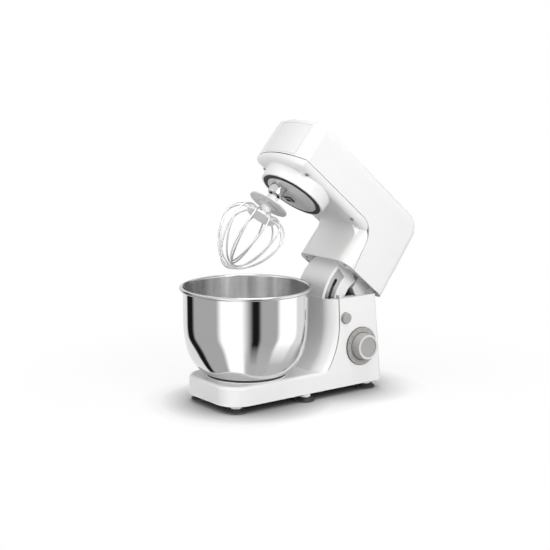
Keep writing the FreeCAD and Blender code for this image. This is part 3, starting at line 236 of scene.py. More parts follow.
def whitePlastic(name, colour=(0.83, 0.83, 0.827), rough=0.34):
    return plastic(name, colour, rough, tone=0.006, change=0.02)


def greyPlastic(name, colour):
    return plastic(name, colour, 0.38, grain=1500.0, bump=0.1)


def metal(name, colour, rough, stretch=(1, 1, 1), lines=900.0, bump=0.03, tone=0.1, change=0.1, aim=(0, 0, 0)):
    material, tree, shader, place = startMaterial(name)
    moved = addNode(tree, "ShaderNodeMapping", {"Vector": place}, {"Scale": stretch, "Rotation": aim})
    useGroup(tree, workedMetal, shader, moved.outputs[0],
             {"Colour": colour + (1,), "Tone Change": tone, "Roughness": rough,
              "Roughness Change": change, "Line Size": lines}, bump, reach=0.0001)
    shader.inputs["Metallic"].default_value = 1.0
    return material


tilted = (layout["headTilt"], 0, 0)   # turns a pattern to the raised head's own upright
finishes = {
    "white_plastic": whitePlastic("whitePlastic"),
    "panel_plastic": whitePlastic("panelPlastic", (0.80, 0.80, 0.797)),
    "warm_grey_plastic": greyPlastic("warmGreyPlastic", (0.37, 0.36, 0.346)),
    "knob_face_plastic": plastic("knobFacePlastic", (0.37, 0.362, 0.352), 0.42, grain=1200.0, bump=0.2),
    "carrier_plastic": plastic("carrierPlastic", (0.62, 0.62, 0.62), 0.34),
    "seal_rubber": plastic("sealRubber", (0.012, 0.012, 0.012), 0.5, grain=1400.0, bump=0.2, tone=0.3,
                           specular=0.15),
    "foot_rubber": plastic("footRubber", (0.016, 0.016, 0.017), 0.55, grain=1200.0, bump=0.3, tone=0.3),
    "disc_plastic": plastic("discPlastic", (0.66, 0.66, 0.655), 0.35),
    "hub_plastic": whitePlastic("hubPlastic", (0.86, 0.86, 0.855), 0.36),
    "gear_nylon": plastic("gearNylon", (0.72, 0.69, 0.61), 0.45, tone=0.08),
    "fan_plastic": plastic("fanPlastic", (0.03, 0.03, 0.032), 0.42, tone=0.2),
    "belt_rubber": plastic("beltRubber", (0.02, 0.02, 0.02), 0.62, grain=1000.0, bump=0.4, tone=0.3),
    "board": plastic("boardLacquer", (0.03, 0.16, 0.06), 0.4, grain=700.0, bump=0.3, tone=0.5),
    "magnet": plastic("magnetFerrite", (0.05, 0.05, 0.052), 0.55, grain=900.0, bump=0.3, tone=0.4),
    "trim_chrome": metal("trimChrome", (0.56, 0.56, 0.56), 0.3, tone=0.03),
    "socket_chrome": metal("socketChrome", (0.62, 0.62, 0.62), 0.16, tone=0.08),
    "bowl_steel": metal("footSteel", (0.6, 0.6, 0.6), 0.2, stretch=(1, 1, 6)),
    "wire_steel": metal("wireSteel", (0.62, 0.62, 0.62), 0.4, tone=0.04),
    "plate_steel": metal("plateSteel", (0.4, 0.4, 0.4), 0.32, stretch=(1, 6, 1)),
    "shaft_steel": metal("shaftSteel", (0.5, 0.5, 0.5), 0.2, stretch=(1, 1, 8), aim=tilted),
    # screw steel given a darker tone: painted shade for the recesses the screws sit in
    "screw_steel": metal("screwSteel", (0.26, 0.26, 0.26), 0.36),
    "case_aluminium": metal("caseAluminium", (0.6, 0.6, 0.61), 0.45, lines=500.0, bump=0.3),
    "bush_bronze": metal("bushBronze", (0.5, 0.36, 0.2), 0.4, lines=600.0, bump=0.2),
    "motor_steel": metal("motorSteel", (0.48, 0.48, 0.5), 0.34, stretch=(1, 1, 5), aim=tilted),
    "armature_steel": metal("armatureSteel", (0.32, 0.3, 0.3), 0.4, stretch=(1, 1, 30), lines=300.0, aim=tilted),
}


# Each solid comes in with a material named after its slot
for node in nodes.values():
    slot = node.data.materials[0].name.split(".")[0]
    node.data.materials[0] = finishes[slot]

# Joints between mouldings: painted shade along the open groove of each, a dark band in the white
seamShadeSize = {
    # colour of the painted shade in the seam grooves
    "tone": (0.035, 0.035, 0.035, 1),
    "headCorner": Vector((0.026396, 0.2537)), "headRound": 0.035,
    "neckFoot": Vector((0.038396, 0.1715)), "headGap": 0.00088,
    "noseGap": 0.0019, "noseFrom": (-0.185, -0.165),
    "coverBack": 0.040296, "coverRound": 0.1344, "coverFrom": 0.130,
    "coverFoot": 0.0474, "coverGap": 0.00165,
}


# Mixes a darker tone into a finish through a mask: painted shade and painted reflection
def paintedShading(material, mask, tone):
    tree = material.node_tree
    grouped = [n for n in tree.nodes if n.bl_idname == "ShaderNodeGroup"][0]
    colour = mixedColour(tree, mask, grouped.outputs["Colour"], tone)
    tree.links.new(colour, tree.nodes["Principled BSDF"].inputs["Base Color"])
    return material


def objectPlace(tree):
    return [n for n in tree.nodes if n.bl_idname == "ShaderNodeTexCoord"][0].outputs["Object"]


def shutPlace(tree):
    shut = addNode(tree, "ShaderNodeVectorRotate", {"Vector": objectPlace(tree)},
                   {"Center": tuple(layout["hinge"]), "Angle": layout["headTilt"]}, rotation_type="X_AXIS")
    return addNode(tree, "ShaderNodeSeparateXYZ", {0: shut.outputs[0]}).outputs


# Head seam, painted shade: level along the tray, round the throat, then down the neck, measured with the head shut
def headSeamShadeWhite(s):
    material = whitePlastic("whiteHeadCoverSeamShade")
    tree = material.node_tree
    y, z = shutPlace(tree)[1:]
    run = (s["neckFoot"] - s["headCorner"]).normalized()
    lean = Vector((-run.y, run.x))
    above = sumOf(tree, "SUBTRACT", z, s["headCorner"].y)
    past = sumOf(tree, "SUBTRACT", y, s["headCorner"].x)
    behind = sumOf(tree, "ADD", sumOf(tree, "MULTIPLY", past, lean.x), sumOf(tree, "MULTIPLY", above, lean.y))
    radius = s["headRound"]
    middleY = s["headCorner"].x + (radius * lean.y - radius) / lean.x
    dy = sumOf(tree, "SUBTRACT", y, middleY)
    dz = sumOf(tree, "ADD", above, radius)
    around = sumOf(tree, "SUBTRACT", lengthOf(tree, dy, dz), radius)
    inCorner = sumOf(tree, "MULTIPLY", sumOf(tree, "GREATER_THAN", above, -radius),
                     sumOf(tree, "GREATER_THAN", behind, -radius))
    flat = sumOf(tree, "MAXIMUM", above, behind)
    gap = mapped(tree, inCorner, 0.0, 1.0, flat, around)
    wide = mapped(tree, y, *s["noseFrom"], s["noseGap"], s["headGap"])
    return paintedShading(material, sumOf(tree, "LESS_THAN", gap, wide), s["tone"])


# Column seam, painted shade: upright, then sweeping forward to the base
def columnSeamShadeWhite(s):
    material = whitePlastic("whiteLowerHousingSeamShade")
    tree = material.node_tree
    y, z = addNode(tree, "ShaderNodeSeparateXYZ", {0: objectPlace(tree)}).outputs[1:]
    drop = sumOf(tree, "MAXIMUM", sumOf(tree, "SUBTRACT", s["coverFrom"], z), 0.0)
    square = sumOf(tree, "SUBTRACT", s["coverRound"] ** 2, sumOf(tree, "MULTIPLY", drop, drop))
    bend = sumOf(tree, "SQRT", square, 0)
    gap = sumOf(tree, "SUBTRACT", y, sumOf(tree, "ADD", bend, s["coverBack"] - s["coverRound"]))
    mask = sumOf(tree, "MULTIPLY", sumOf(tree, "LESS_THAN", gap, s["coverGap"]),
                 sumOf(tree, "GREATER_THAN", z, s["coverFoot"]))
    return paintedShading(material, mask, s["tone"])


# Speed dial: raised ticks round the bezel, and a pointer on the knob
dialSize = {
    "centre": Vector((0.070841, 0.087696, 0.0805)),
    "out": Vector((0.99849, 0, 0.054933)),
    "face": 0.003,                       # front of the bezel above the wall
    "skirt": (0.0322, 0.0334),           # where the bezel rounds off, and the painted shade starts below it
    "knob": 0.0242, "joint": 0.0010,     # foot of the knob, and the painted shade line round it
    "shade": (0.11, 0.107, 0.103, 1),
    "tickReach": 0.0291, "tick": (0.0038, 0.0008, 0.0005), "tickSoft": 0.00012,
    "first": 240.0, "sweep": -255.0, "count": 11,
    "pointer": 210.0,                    # where the knob points when it is off
    "knobFace": 0.0173, "pointerReach": 0.0137, "pointerBar": (0.0050, 0.0011, 0.0008), "pointerSoft": 0.0002,
}


# Bezel: painted shade on the skirt below its rounded edge, darker than its face, and a painted shade line round the
# foot of the knob
def bezelPaintedShade(s):
    material = greyPlastic("bezelPaintedShade", (0.36, 0.35, 0.337))
    tree = material.node_tree
    moved = addNode(tree, "ShaderNodeVectorMath", {0: objectPlace(tree)}, {1: s["centre"]}, operation="SUBTRACT")
    across = addNode(tree, "ShaderNodeVectorMath", {0: moved.outputs[0]}, {1: s["out"]}, operation="CROSS_PRODUCT")
    reach = addNode(tree, "ShaderNodeVectorMath", {0: across.outputs[0]}, None, operation="LENGTH").outputs["Value"]
    skirt = mapped(tree, reach, *s["skirt"], 0.0, 1.0)
    joint = mapped(tree, reach, s["knob"], s["knob"] + s["joint"], 1.0, 0.0)
    return paintedShading(material, sumOf(tree, "MAXIMUM", skirt, joint), s["shade"])


# Carrier: painted shade in the line round its raised oblong and in the hole within it, measured with the head shut
def carrierPaintedShade(s):
    material = plastic("carrierPaintedShade", (0.62, 0.62, 0.62), 0.34)
    tree = material.node_tree
    x, y = shutPlace(tree)[:2]
    across = sumOf(tree, "ABSOLUTE", sumOf(tree, "SUBTRACT", x, s["middle"][0]), 0)
    along = sumOf(tree, "ABSOLUTE", sumOf(tree, "SUBTRACT", y, s["middle"][1]), 0)

    def within(size):
        return sumOf(tree, "MULTIPLY", sumOf(tree, "LESS_THAN", across, size[0]),
                     sumOf(tree, "LESS_THAN", along, size[1]))

    outlineShade = sumOf(tree, "SUBTRACT", within(s["outside"]), within(s["top"]))
    return paintedShading(material, sumOf(tree, "ADD", outlineShade, within(s["hole"])), s["tone"])


markSize = {
    "middle": (-0.017, -0.096604),
    "outside": (0.0102, 0.0072), "top": (0.0086, 0.0056), "hole": (0.0067, 0.0037),   # half sizes of the oblong
    # colour of the painted shade round and inside the oblong
    "tone": (0.05, 0.05, 0.05, 1),
}
ownFinish = {
    "planet_carrier": carrierPaintedShade(markSize),
    "head_top_cover": headSeamShadeWhite(seamShadeSize),
    "lower_housing": columnSeamShadeWhite(seamShadeSize),
    "speed_knob": greyPlastic("knobGrey", (0.50, 0.49, 0.474)),
    "dial_bezel": bezelPaintedShade(dialSize),
}
for name, finish in ownFinish.items():
    nodes[name].data.materials[0] = finish
print("stage 3: finishes on the solids")

# Bowl: spun from one sheet, with a rolled rim, polished outside and brushed inside
bowlSize = {
    "rim": 0.11296, "rimTop": 0.1997, "bead": 0.0032, "wall": 0.1068, "sheet": 0.0009,
    "straightFrom": 0.140036, "sideRound": 0.190, "sideTurn": math.radians(15), "lowRound": 0.065,
    "steps": 192, "lowSteps": 26, "sideSteps": 8, "leadSteps": 7, "beadSteps": 14,
    "creaseRows": (0.0002, 0.0006), "wallRow": 0.17,   # rows that keep the wall straight up to the bead
    "floorRow": 0.5,                      # a row of points halfway out over the flat floor
}
steelLook = {"change": 0.03, "lines": 260.0, "streak": 0.004}
reflectionBandLook = {"scale": 3.4, "detail": 2.0, "from": 0.35, "to": 0.65}


def arcPoints(centre, radius, start, end, count):
    points = []
    for i in range(count + 1):
        turn = start + (end - start) * i / count
        points.append((centre[0] + radius * math.cos(turn), centre[1] + radius * math.sin(turn)))
    return points


def bowlWall(s, inset):
    side = (s["wall"] - s["sideRound"], s["straightFrom"])
    gap = s["sideRound"] - s["lowRound"]
    low = (side[0] + gap * math.cos(s["sideTurn"]), side[1] - gap * math.sin(s["sideTurn"]))
    floor = low[1] - s["lowRound"] + inset
    points = [(0.0, floor), (low[0] * s["floorRow"], floor)]
    points += arcPoints(low, s["lowRound"] - inset, -math.pi / 2, -s["sideTurn"], s["lowSteps"])
    points += arcPoints(side, s["sideRound"] - inset, -s["sideTurn"], 0, s["sideSteps"])[1:]
    return points


def spun(name, rows, axis, steps, finish, rowFinish):
    mesh = bpy.data.meshes.new(name)
    form = bmesh.new()
    rings = []
    for radius, height in rows:
        if radius < layout["same"]:
            rings.append([form.verts.new((axis.x, axis.y, height))])
            continue
        ring = []
        for i in range(steps):
            turn = 2 * math.pi * i / steps
            ring.append(form.verts.new((axis.x + radius * math.cos(turn), axis.y + radius * math.sin(turn), height)))
        rings.append(ring)
    for k in range(len(rings) - 1):
        a, b = rings[k], rings[k + 1]
        for i in range(steps):
            j = (i + 1) % steps
            corners = [a[i % len(a)], a[j % len(a)], b[j % len(b)], b[i % len(b)]]
            corners = list(dict.fromkeys(corners))
            face = form.faces.new(corners)
            face.smooth = True
            face.material_index = rowFinish(k)
    bmesh.ops.recalc_face_normals(form, faces=form.faces)
    form.to_mesh(mesh)
    form.free()
    for item in finish:
        mesh.materials.append(item)
    piece = bpy.data.objects.new(name, mesh)
    scene.collection.objects.link(piece)
    return piece


# Spun steel: lines run round the bowl's axis, so the pattern is laid on angle, radius and height
def spunSteel(name, colour, rough, look, reflectionBands=0.0):
    material, tree, shader, place = startMaterial(name)
    centred = addNode(tree, "ShaderNodeMapping", {"Vector": place},
                      {"Location": tuple(-layout["bowlAxis"])})
    parts = addNode(tree, "ShaderNodeSeparateXYZ", {"Vector": centred.outputs[0]})
    x, y, z = parts.outputs
    turn = sumOf(tree, "ARCTAN2", y, x)
    reach = lengthOf(tree, x, y)
    rolled = addNode(tree, "ShaderNodeCombineXYZ", {
        "X": sumOf(tree, "MULTIPLY", turn, look["streak"]), "Y": reach, "Z": z})
    useGroup(tree, workedMetal, shader, rolled.outputs[0],
             {"Colour": colour + (1,), "Tone Change": 0.06, "Roughness": rough,
              "Roughness Change": look["change"], "Line Size": look["lines"]})
    shader.inputs["Metallic"].default_value = 1.0
    if reflectionBands:                             # painted reflection: darker upright bands round the wall
        noise = addNode(tree, "ShaderNodeTexNoise", {"W": turn},
                        {"Scale": reflectionBandLook["scale"], "Detail": reflectionBandLook["detail"]}, noise_dimensions="1D")
        share = mapped(tree, noise.outputs[0], reflectionBandLook["from"], reflectionBandLook["to"], reflectionBands, 0.0)
        paintedShading(material, share, (0.0, 0.0, 0.0, 1))
    return material


def makeBowl(s):
    inner = bowlWall(s, s["sheet"])
    outer = bowlWall(s, 0.0)
    centre = (s["rim"] - s["bead"], s["rimTop"] - s["bead"])
    innerWall = s["wall"] - s["sheet"]
    lead = centre[0] - innerWall
    curl = [(innerWall, centre[1])]
    for i in range(1, s["leadSteps"] + 1):
        turn = math.pi - math.pi / 2 * i / s["leadSteps"]
        radius = lead + (s["bead"] - lead) * i / s["leadSteps"]
        curl.append((centre[0] + radius * math.cos(turn), centre[1] + radius * math.sin(turn)))
    foot = math.acos((s["wall"] - centre[0]) / s["bead"])
    curl += arcPoints(centre, s["bead"], math.pi / 2, -foot, s["beadSteps"])[1:]
    crease = curl[-1][1]
    under = [(s["wall"], crease - drop) for drop in s["creaseRows"]] + [(s["wall"], s["wallRow"])]
    over = [(innerWall, s["wallRow"]), (innerWall, centre[1] - s["creaseRows"][-1])]
    rows = inner + over + curl + under + outer[::-1]
    brushed = len(inner) + len(over)
    # One sheet of steel in three tones: the inside lighter and the rim darker than the outside, painted light and
    # painted shade; the roughness differs as the finishes do
    steelIn = spunSteel("bowlInside", (0.97, 0.97, 0.97), 0.26, dict(steelLook, change=0.10), reflectionBands=0.34)
    steelOut = spunSteel("bowlOutside", (0.76, 0.76, 0.76), 0.08, steelLook)
    steelRim = spunSteel("bowlRim", (0.62, 0.62, 0.62), 0.22, steelLook)
    rolled = brushed + len(curl) - 1
    bowl = spun("bowlShell", rows, layout["bowlAxis"], s["steps"], [steelIn, steelRim, steelOut],
                lambda k: 0 if k < brushed else 1 if k < rolled else 2)
    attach(bowl, "bowl")
    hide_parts("bowl_shell")


makeBowl(bowlSize)
print("stage 4: bowl spun")


# Repeated small parts are laid out by node groups, then turned into plain meshes
def partGroup(name, inputs):
    tree = bpy.data.node_groups.new(name, "GeometryNodeTree")
    for label, kind in inputs:
        tree.interface.new_socket(label, in_out="INPUT", socket_type=kind)
    tree.interface.new_socket("Geometry", in_out="OUTPUT", socket_type="NodeSocketGeometry")
    return tree, tree.nodes.new("NodeGroupInput"), tree.nodes.new("NodeGroupOutput")


def layOut(name, tree, values, seed, place):
    carrier = bpy.data.objects.new(name + "Source", seed)
    scene.collection.objects.link(carrier)
    modifier = carrier.modifiers.new("layOut", "NODES")
    modifier.node_group = tree
    sockets = {item.name: item.identifier for item in tree.interface.items_tree if item.in_out == "INPUT"}
    for label, value in values.items():
        modifier[sockets[label]] = value
    graph = bpy.context.evaluated_depsgraph_get()
    mesh = bpy.data.meshes.new_from_object(carrier.evaluated_get(graph))
    carrier.modifiers.remove(modifier)
    bpy.data.objects.remove(carrier)
    mesh.transform(place)
    form = bmesh.new()
    form.from_mesh(mesh)
    bmesh.ops.remove_doubles(form, verts=form.verts, dist=layout["same"])
    bmesh.ops.recalc_face_normals(form, faces=form.faces)
    form.to_mesh(mesh)
    form.free()
    mesh.name = name
    piece = bpy.data.objects.new(name, mesh)
    scene.collection.objects.link(piece)
    return piece


def setOnPoints(tree, points, item, turn, finish, sink):
    links = {"Points": points, "Instance": item}
    if turn is not None:
        links["Rotation"] = addNode(tree, "FunctionNodeEulerToRotation", {0: turn}).outputs[0]
    placed = addNode(tree, "GeometryNodeInstanceOnPoints", links)
    real = addNode(tree, "GeometryNodeRealizeInstances", {0: placed.outputs[0]})
    done = addNode(tree, "GeometryNodeSetMaterial", {"Geometry": real.outputs[0], "Material": finish})
    tree.links.new(done.outputs[0], sink.inputs[0])


def dialPlace(s, lift):
    across = Vector((0, 1, 0))
    up = s["out"].cross(across)
    turn = Matrix((across, up, s["out"])).transposed().to_4x4()
    return Matrix.Translation(s["centre"] + s["out"] * lift) @ turn


def tickGroup():
    tree, source, sink = partGroup("dialTicks", [
        ("Count", "NodeSocketInt"), ("First", "NodeSocketFloat"), ("Step", "NodeSocketFloat"),
        ("Reach", "NodeSocketFloat"), ("Bar", "NodeSocketVector"), ("Finish", "NodeSocketMaterial")])
    index = tree.nodes.new("GeometryNodeInputIndex").outputs[0]
    turn = sumOf(tree, "ADD", source.outputs["First"], sumOf(tree, "MULTIPLY", index, source.outputs["Step"]))
    spot = addNode(tree, "ShaderNodeCombineXYZ", {
        "X": sumOf(tree, "MULTIPLY", sumOf(tree, "COSINE", turn, 0), source.outputs["Reach"]),
        "Y": sumOf(tree, "MULTIPLY", sumOf(tree, "SINE", turn, 0), source.outputs["Reach"])})
    points = addNode(tree, "GeometryNodePoints", {"Count": source.outputs["Count"], "Position": spot.outputs[0]})
    bar = addNode(tree, "GeometryNodeMeshCube", {"Size": source.outputs["Bar"]})
    aim = addNode(tree, "ShaderNodeCombineXYZ", {"Z": turn})
    setOnPoints(tree, points.outputs[0], bar.outputs[0], aim.outputs[0], source.outputs["Finish"], sink)
    return tree


def softened(piece, width):
    bevel = piece.modifiers.new("softEdge", "BEVEL")
    bevel.width = width
    bevel.segments = 2
    graph = bpy.context.evaluated_depsgraph_get()
    mesh = bpy.data.meshes.new_from_object(piece.evaluated_get(graph))
    piece.modifiers.remove(bevel)
    piece.data = mesh


def makeDialMarks(s):
    group = tickGroup()
    ink = plastic("printGrey", (0.13, 0.13, 0.13), 0.45, grain=1500.0, bump=0.1)
    step = math.radians(s["sweep"]) / (s["count"] - 1)
    ticks = layOut("dialTicks", group, {
        "Count": s["count"], "First": math.radians(s["first"]), "Step": step, "Reach": s["tickReach"],
        "Bar": s["tick"], "Finish": ink}, bpy.data.meshes.new("tickSeed"), dialPlace(s, s["face"]))
    softened(ticks, s["tickSoft"])
    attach(ticks, "stand")
    pointer = layOut("knobPointer", group, {
        "Count": 1, "First": math.radians(s["pointer"]), "Step": 0.0, "Reach": s["pointerReach"],
        "Bar": s["pointerBar"], "Finish": ink}, bpy.data.meshes.new("pointerSeed"), dialPlace(s, s["knobFace"]))
    softened(pointer, s["pointerSoft"])
    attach(pointer, "dial")


# Screws: pan heads with a cross cut into each
screwSize = {
    "headTaper": 0.84, "crossWide": 0.20, "crossLong": 1.10, "crossDeep": 0.62,   # shares of the head
    "sides": 28, "shankSides": 20,
}
screwRead = {"middle": 0.0004, "edge": 1e-5}   # points of the solid this near its axis or its rim lie on it


def screwGroup(s):
    tree, source, sink = partGroup("crossScrews", [
        ("Geometry", "NodeSocketGeometry"), ("Head Reach", "NodeSocketFloat"), ("Head Height", "NodeSocketFloat"),
        ("Shank Reach", "NodeSocketFloat"), ("Shank Length", "NodeSocketFloat"), ("Finish", "NodeSocketMaterial")])
    reach = source.outputs["Head Reach"]
    high = source.outputs["Head Height"]
    head = addNode(tree, "GeometryNodeMeshCone", {
        "Radius Bottom": sumOf(tree, "MULTIPLY", reach, s["headTaper"]), "Radius Top": reach, "Depth": high},
        {"Vertices": s["sides"]})
    deep = sumOf(tree, "MULTIPLY", high, 2 * s["crossDeep"])
    wide = sumOf(tree, "MULTIPLY", reach, 2 * s["crossWide"])
    long = sumOf(tree, "MULTIPLY", reach, s["crossLong"])
    bars = [addNode(tree, "GeometryNodeMeshCube", {0: addNode(tree, "ShaderNodeCombineXYZ", {
        "X": a, "Y": b, "Z": deep}).outputs[0]}) for a, b in ((long, wide), (wide, long))]
    cut = head.outputs["Mesh"]
    for bar in bars:
        cut = addNode(tree, "GeometryNodeMeshBoolean", {0: cut, 1: bar.outputs[0]}, None,
                      operation="DIFFERENCE", solver="EXACT").outputs[0]
    shank = addNode(tree, "GeometryNodeMeshCylinder", {
        "Radius": source.outputs["Shank Reach"], "Depth": source.outputs["Shank Length"]},
        {"Vertices": s["shankSides"]})
    rise = sumOf(tree, "ADD", high, sumOf(tree, "MULTIPLY", source.outputs["Shank Length"], 0.5))
    moved = addNode(tree, "GeometryNodeTransform", {
        "Geometry": shank.outputs[0],
        "Translation": addNode(tree, "ShaderNodeCombineXYZ", {"Z": rise}).outputs[0]})
    whole = tree.nodes.new("GeometryNodeJoinGeometry")
    tree.links.new(cut, whole.inputs[0])
    tree.links.new(moved.outputs[0], whole.inputs[0])
    setOnPoints(tree, source.outputs["Geometry"], whole.outputs[0], None, source.outputs["Finish"], sink)
    return tree


def loosePieces(mesh):
    form = bmesh.new()
    form.from_mesh(mesh)
    bmesh.ops.remove_doubles(form, verts=form.verts, dist=layout["same"])
    left = set(form.verts)
    groups = []
    while left:
        front = [left.pop()]
        group = list(front)
        while front:
            vert = front.pop()
            for edge in vert.link_edges:
                other = edge.other_vert(vert)
                if other in left:
                    left.remove(other)
                    front.append(other)
                    group.append(other)
        groups.append([v.co.copy() for v in group])
    form.free()
    return groups


def makeScrews(s, name, node, body, tilt, group):
    # the sizes and places are read from the solid that the piece stands in for
    upright = Matrix.Rotation(tilt, 4, "X")
    heads, reach, high, shank, length = [], 0.0, 0.0, 0.0, 1.0
    for loose in loosePieces(nodes[node].data):
        spots = [upright.inverted() @ nodes[node].matrix_world @ v for v in loose]
        middle = Vector([(min(v[i] for v in spots) + max(v[i] for v in spots)) / 2 for i in range(3)])
        low = min(v.z for v in spots)
        top = max(v.z for v in spots)
        radii = sorted({round((v.xy - middle.xy).length, 6) for v in spots})
        reach = radii[-1]
        shank = [r for r in radii if r > s["middle"]][0]
        high = max(v.z for v in spots if (v.xy - middle.xy).length > reach - s["edge"]) - low
        length = min(length, top - low - high)
        heads.append((middle.x, middle.y, low))
    seed = bpy.data.meshes.new(name + "Seed")
    seed.from_pydata(heads, [], [])
    piece = layOut(name, group, {
        "Head Reach": reach, "Head Height": high, "Shank Reach": shank, "Shank Length": length,
        "Finish": finishes["screw_steel"]}, seed, upright)
    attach(piece, body)
    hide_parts(node)
    print(name, len(heads), "screws", round(reach, 5), round(high, 5), round(shank, 5), round(length, 5))


makeDialMarks(dialSize)
screws = screwGroup(screwSize)
makeScrews(screwRead, "headScrews", "head_screws", "head", -layout["headTilt"], screws)
makeScrews(screwRead, "plateScrews", "bottom_plate_screws", "stand", 0.0, screws)
print("stage 5: dial marks and screws")

# Studio: pale floor, white surround, soft lamps, and a low ring of light and dark boards that only shows in gloss
studio = {
    "floorHalf": 6.0,
    "fadeFrom": 0.22, "fadeTo": 0.62,     # floor shading gives way to plain white between these distances
    "floorSeen": 1.0, "floorBounce": 0.44, "floorLit": 0.15,
    "shadowReach": 0.09, "shadowDepth": 1.5,
    "skyLevel": 0.30,
    "lamps": [                            # name, place, aim, size, watts
        ("dialSoft", (2.3, -0.1, 1.0), (0, 0, 0.25), 1.5, 41.0),
        ("noseSoft", (-0.3, -2.2, 0.75), (0, 0, 0.25), 1.5, 24.0),
        ("topSoft", (0.3, 0.1, 2.4), (0, 0, 0.2), 1.4, 17.0),
    ],
    "ring": {"radius": 0.46, "inner": 0.03, "lift": 0.0004, "height": 0.44, "steps": 96},
    "spread": (0.12, 0.48, 1.20, 1.82),   # the ring turns this much faster than the bowl wall that mirrors it
    "tones": {"wall": 0.9, "flag": 0.01, "card": 0.48, "box": 1.35, "gloom": 0.13},
    "boards": [                           # tone, and where it starts and ends round the bowl wall from the camera
        ("wall", -90, -69), ("flag", -66, -57), ("card", -53, -27), ("box", -22, -4), ("flag", 6, 11),
        ("card", 14, 28), ("box", 32, 50), ("wall", 53, 63), ("gloom", 76, 90),
    ],
    "ringSpill": 0.2,
    "ringFade": (0.15, 0.36, 0.95, 0.55),   # close to the bowl the boards wash out towards this grey
    "fadeTurn": (-5, 1),                  # only past this turn, so the dark board on the left stays
}


def flatBoard(name, corners, material):
    mesh = bpy.data.meshes.new(name)
    mesh.from_pydata([tuple(c) for c in corners], [], [(0, 1, 2, 3)])
    mesh.materials.append(material)
    board = bpy.data.objects.new(name, mesh)
    scene.collection.objects.link(board)


def seenDirect(tree):
    seen = tree.nodes.new("ShaderNodeLightPath")
    some = sumOf(tree, "MAXIMUM", seen.outputs["Is Camera Ray"], seen.outputs["Is Glossy Ray"])
    some = sumOf(tree, "MAXIMUM", some, seen.outputs["Is Transmission Ray"])
    first = sumOf(tree, "LESS_THAN", seen.outputs["Diffuse Depth"], 0.5)   # light that has not yet bounced softly
    return sumOf(tree, "MULTIPLY", some, first)


def floorFinish(s):
    material = bpy.data.materials.new("paleFloor")
    material.use_nodes = True
    tree = material.node_tree
    tree.nodes.clear()
    out = tree.nodes.new("ShaderNodeOutputMaterial")
    place = tree.nodes.new("ShaderNodeTexCoord").outputs["Object"]
    far = addNode(tree, "ShaderNodeVectorMath", {0: place}, None, operation="LENGTH")
    share = mapped(tree, far.outputs["Value"], s["fadeFrom"], s["fadeTo"], 1.0, 0.0)
    shade = s["floorSeen"]
    dull = s["floorBounce"]
    # Painted contact shadow: the floor's colour, glowing and lit alike, is darkened where nearby solids hide the sky
    hidden = addNode(tree, "ShaderNodeAmbientOcclusion", None, {"Distance": s["shadowReach"]})
    clearShare = sumOf(tree, "POWER", hidden.outputs["AO"], s["shadowDepth"])
    tone = mixedColour(tree, clearShare, (0.0, 0.0, 0.0, 1), (shade, shade, shade, 1))
    lit = addNode(tree, "ShaderNodeBsdfDiffuse", {"Color": tone})
    even = addNode(tree, "ShaderNodeEmission", {"Color": tone}, {"Strength": 1.0})
    paper = addNode(tree, "ShaderNodeMixShader", {1: even.outputs[0], 2: lit.outputs[0]}, {0: s["floorLit"]})
    bounce = addNode(tree, "ShaderNodeBsdfDiffuse", None, {"Color": (dull, dull, dull, 1)})
    glow = addNode(tree, "ShaderNodeEmission", None, {"Color": (1, 1, 1, 1), "Strength": 1.0})
    shown = addNode(tree, "ShaderNodeMixShader", {0: share, 1: glow.outputs[0], 2: paper.outputs[0]})
    mixed = addNode(tree, "ShaderNodeMixShader", {0: seenDirect(tree), 1: bounce.outputs[0], 2: shown.outputs[0]})
    tree.links.new(mixed.outputs[0], out.inputs[0])
    return material


def setWorld(s):
    world = bpy.data.worlds.new("surround")
    scene.world = world
    world.use_nodes = True
    tree = world.node_tree
    tree.nodes.clear()
    out = tree.nodes.new("ShaderNodeOutputWorld")
    white = addNode(tree, "ShaderNodeBackground", None, {"Color": (1, 1, 1, 1), "Strength": 1.0})
    soft = addNode(tree, "ShaderNodeBackground", None, {"Color": (1, 1, 1, 1), "Strength": s["skyLevel"]})
    mixed = addNode(tree, "ShaderNodeMixShader", {0: seenDirect(tree), 1: soft.outputs[0], 2: white.outputs[0]})
    tree.links.new(mixed.outputs[0], out.inputs[0])


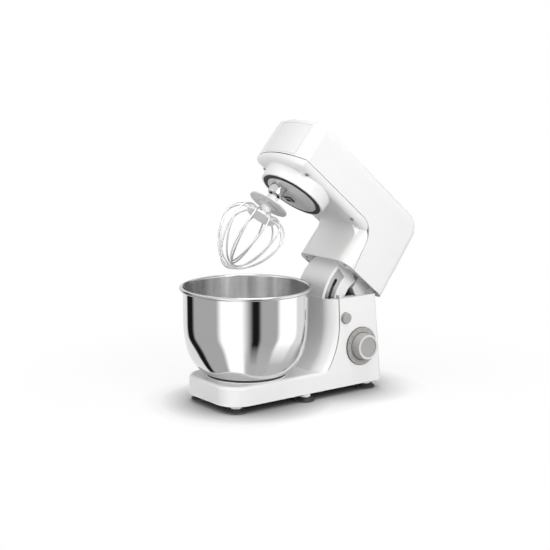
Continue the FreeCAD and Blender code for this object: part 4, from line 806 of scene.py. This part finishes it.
def ringFinish(s):
    material = bpy.data.materials.new("ringBoards")
    material.use_nodes = True
    tree = material.node_tree
    tree.nodes.clear()
    out = tree.nodes.new("ShaderNodeOutputMaterial")
    place = tree.nodes.new("ShaderNodeTexCoord").outputs["Object"]
    facing = cameraSet["heading"]
    centred = addNode(tree, "ShaderNodeVectorMath", {0: place}, {1: tuple(layout["bowlAxis"])}, operation="SUBTRACT")
    turned = addNode(tree, "ShaderNodeVectorRotate", {"Vector": centred.outputs[0]}, {"Angle": facing},
                     rotation_type="Z_AXIS")
    parts = addNode(tree, "ShaderNodeSeparateXYZ", {0: turned.outputs[0]})
    x, y, z = parts.outputs
    reach = lengthOf(tree, x, y)
    spread = mapped(tree, sumOf(tree, "ADD", reach, z), *s["spread"])
    spread.node.interpolation_type = "SMOOTHSTEP"
    turn = sumOf(tree, "DIVIDE", sumOf(tree, "ARCTAN2", y, x), spread)
    at = mapped(tree, turn, -math.pi / 2, math.pi / 2, 0.0, 1.0)
    ramp = addNode(tree, "ShaderNodeValToRGB", {0: at})
    stops = ramp.color_ramp.elements
    brightest = max(s["tones"].values())
    edges = [(azimuth, s["tones"][tone]) for tone, *ends in s["boards"] for azimuth in ends]
    for i, (azimuth, level) in enumerate(edges):
        where = (azimuth + 90) / 180
        stop = stops[i] if i < 2 else stops.new(where)
        stop.position = where
        tone = level / brightest
        stop.color = (tone, tone, tone, 1)
    near, far, most, grey = s["ringFade"]
    grey = grey / brightest
    washed = mapped(tree, turn, *(math.radians(a) for a in s["fadeTurn"]), 0.0, 1.0)
    wash = sumOf(tree, "MULTIPLY", mapped(tree, sumOf(tree, "ADD", reach, z), near, far, most, 0.0), washed)
    colour = mixedColour(tree, wash, ramp.outputs[0], (grey, grey, grey, 1))
    power = mapped(tree, seenDirect(tree), 0.0, 1.0, brightest * s["ringSpill"], brightest)
    glow = addNode(tree, "ShaderNodeEmission", {"Color": colour, "Strength": power})
    tree.links.new(glow.outputs[0], out.inputs[0])
    return material


def buildRing(s):
    size = s["ring"]
    spots, faces = [], []
    rows = [(size["inner"], size["lift"]), (size["radius"], size["lift"]), (size["radius"], size["height"])]
    for i in range(size["steps"]):
        turn = 2 * math.pi * i / size["steps"]
        for reach, high in rows:
            spot = layout["bowlAxis"] + Vector((math.cos(turn), math.sin(turn), 0)) * reach
            spots.append((spot.x, spot.y, high))
        j = (i + 1) % size["steps"]
        for k in range(2):
            faces.append((3 * i + k, 3 * i + k + 1, 3 * j + k + 1, 3 * j + k))
    mesh = bpy.data.meshes.new("ringBoards")
    mesh.from_pydata(spots, [], faces)
    mesh.materials.append(ringFinish(s))
    ring = bpy.data.objects.new("ringBoards", mesh)
    scene.collection.objects.link(ring)
    ring.visible_camera = False
    ring.visible_diffuse = False
    ring.visible_shadow = False
    ring.visible_transmission = False


def buildStudio(s):
    half = s["floorHalf"]
    flatBoard("floor", [(-half, -half, 0), (half, -half, 0), (half, half, 0), (-half, half, 0)], floorFinish(s))
    setWorld(s)
    for name, spot, aim, size, watts in s["lamps"]:
        data = bpy.data.lights.new(name, "AREA")
        data.shape = "DISK"
        data.size = size
        data.energy = watts
        lamp = bpy.data.objects.new(name, data)
        scene.collection.objects.link(lamp)
        lamp.location = spot
        lamp.rotation_euler = (Vector(aim) - Vector(spot)).to_track_quat("-Z", "Y").to_euler()
    buildRing(s)


buildStudio(studio)
print("stage 6: studio set")
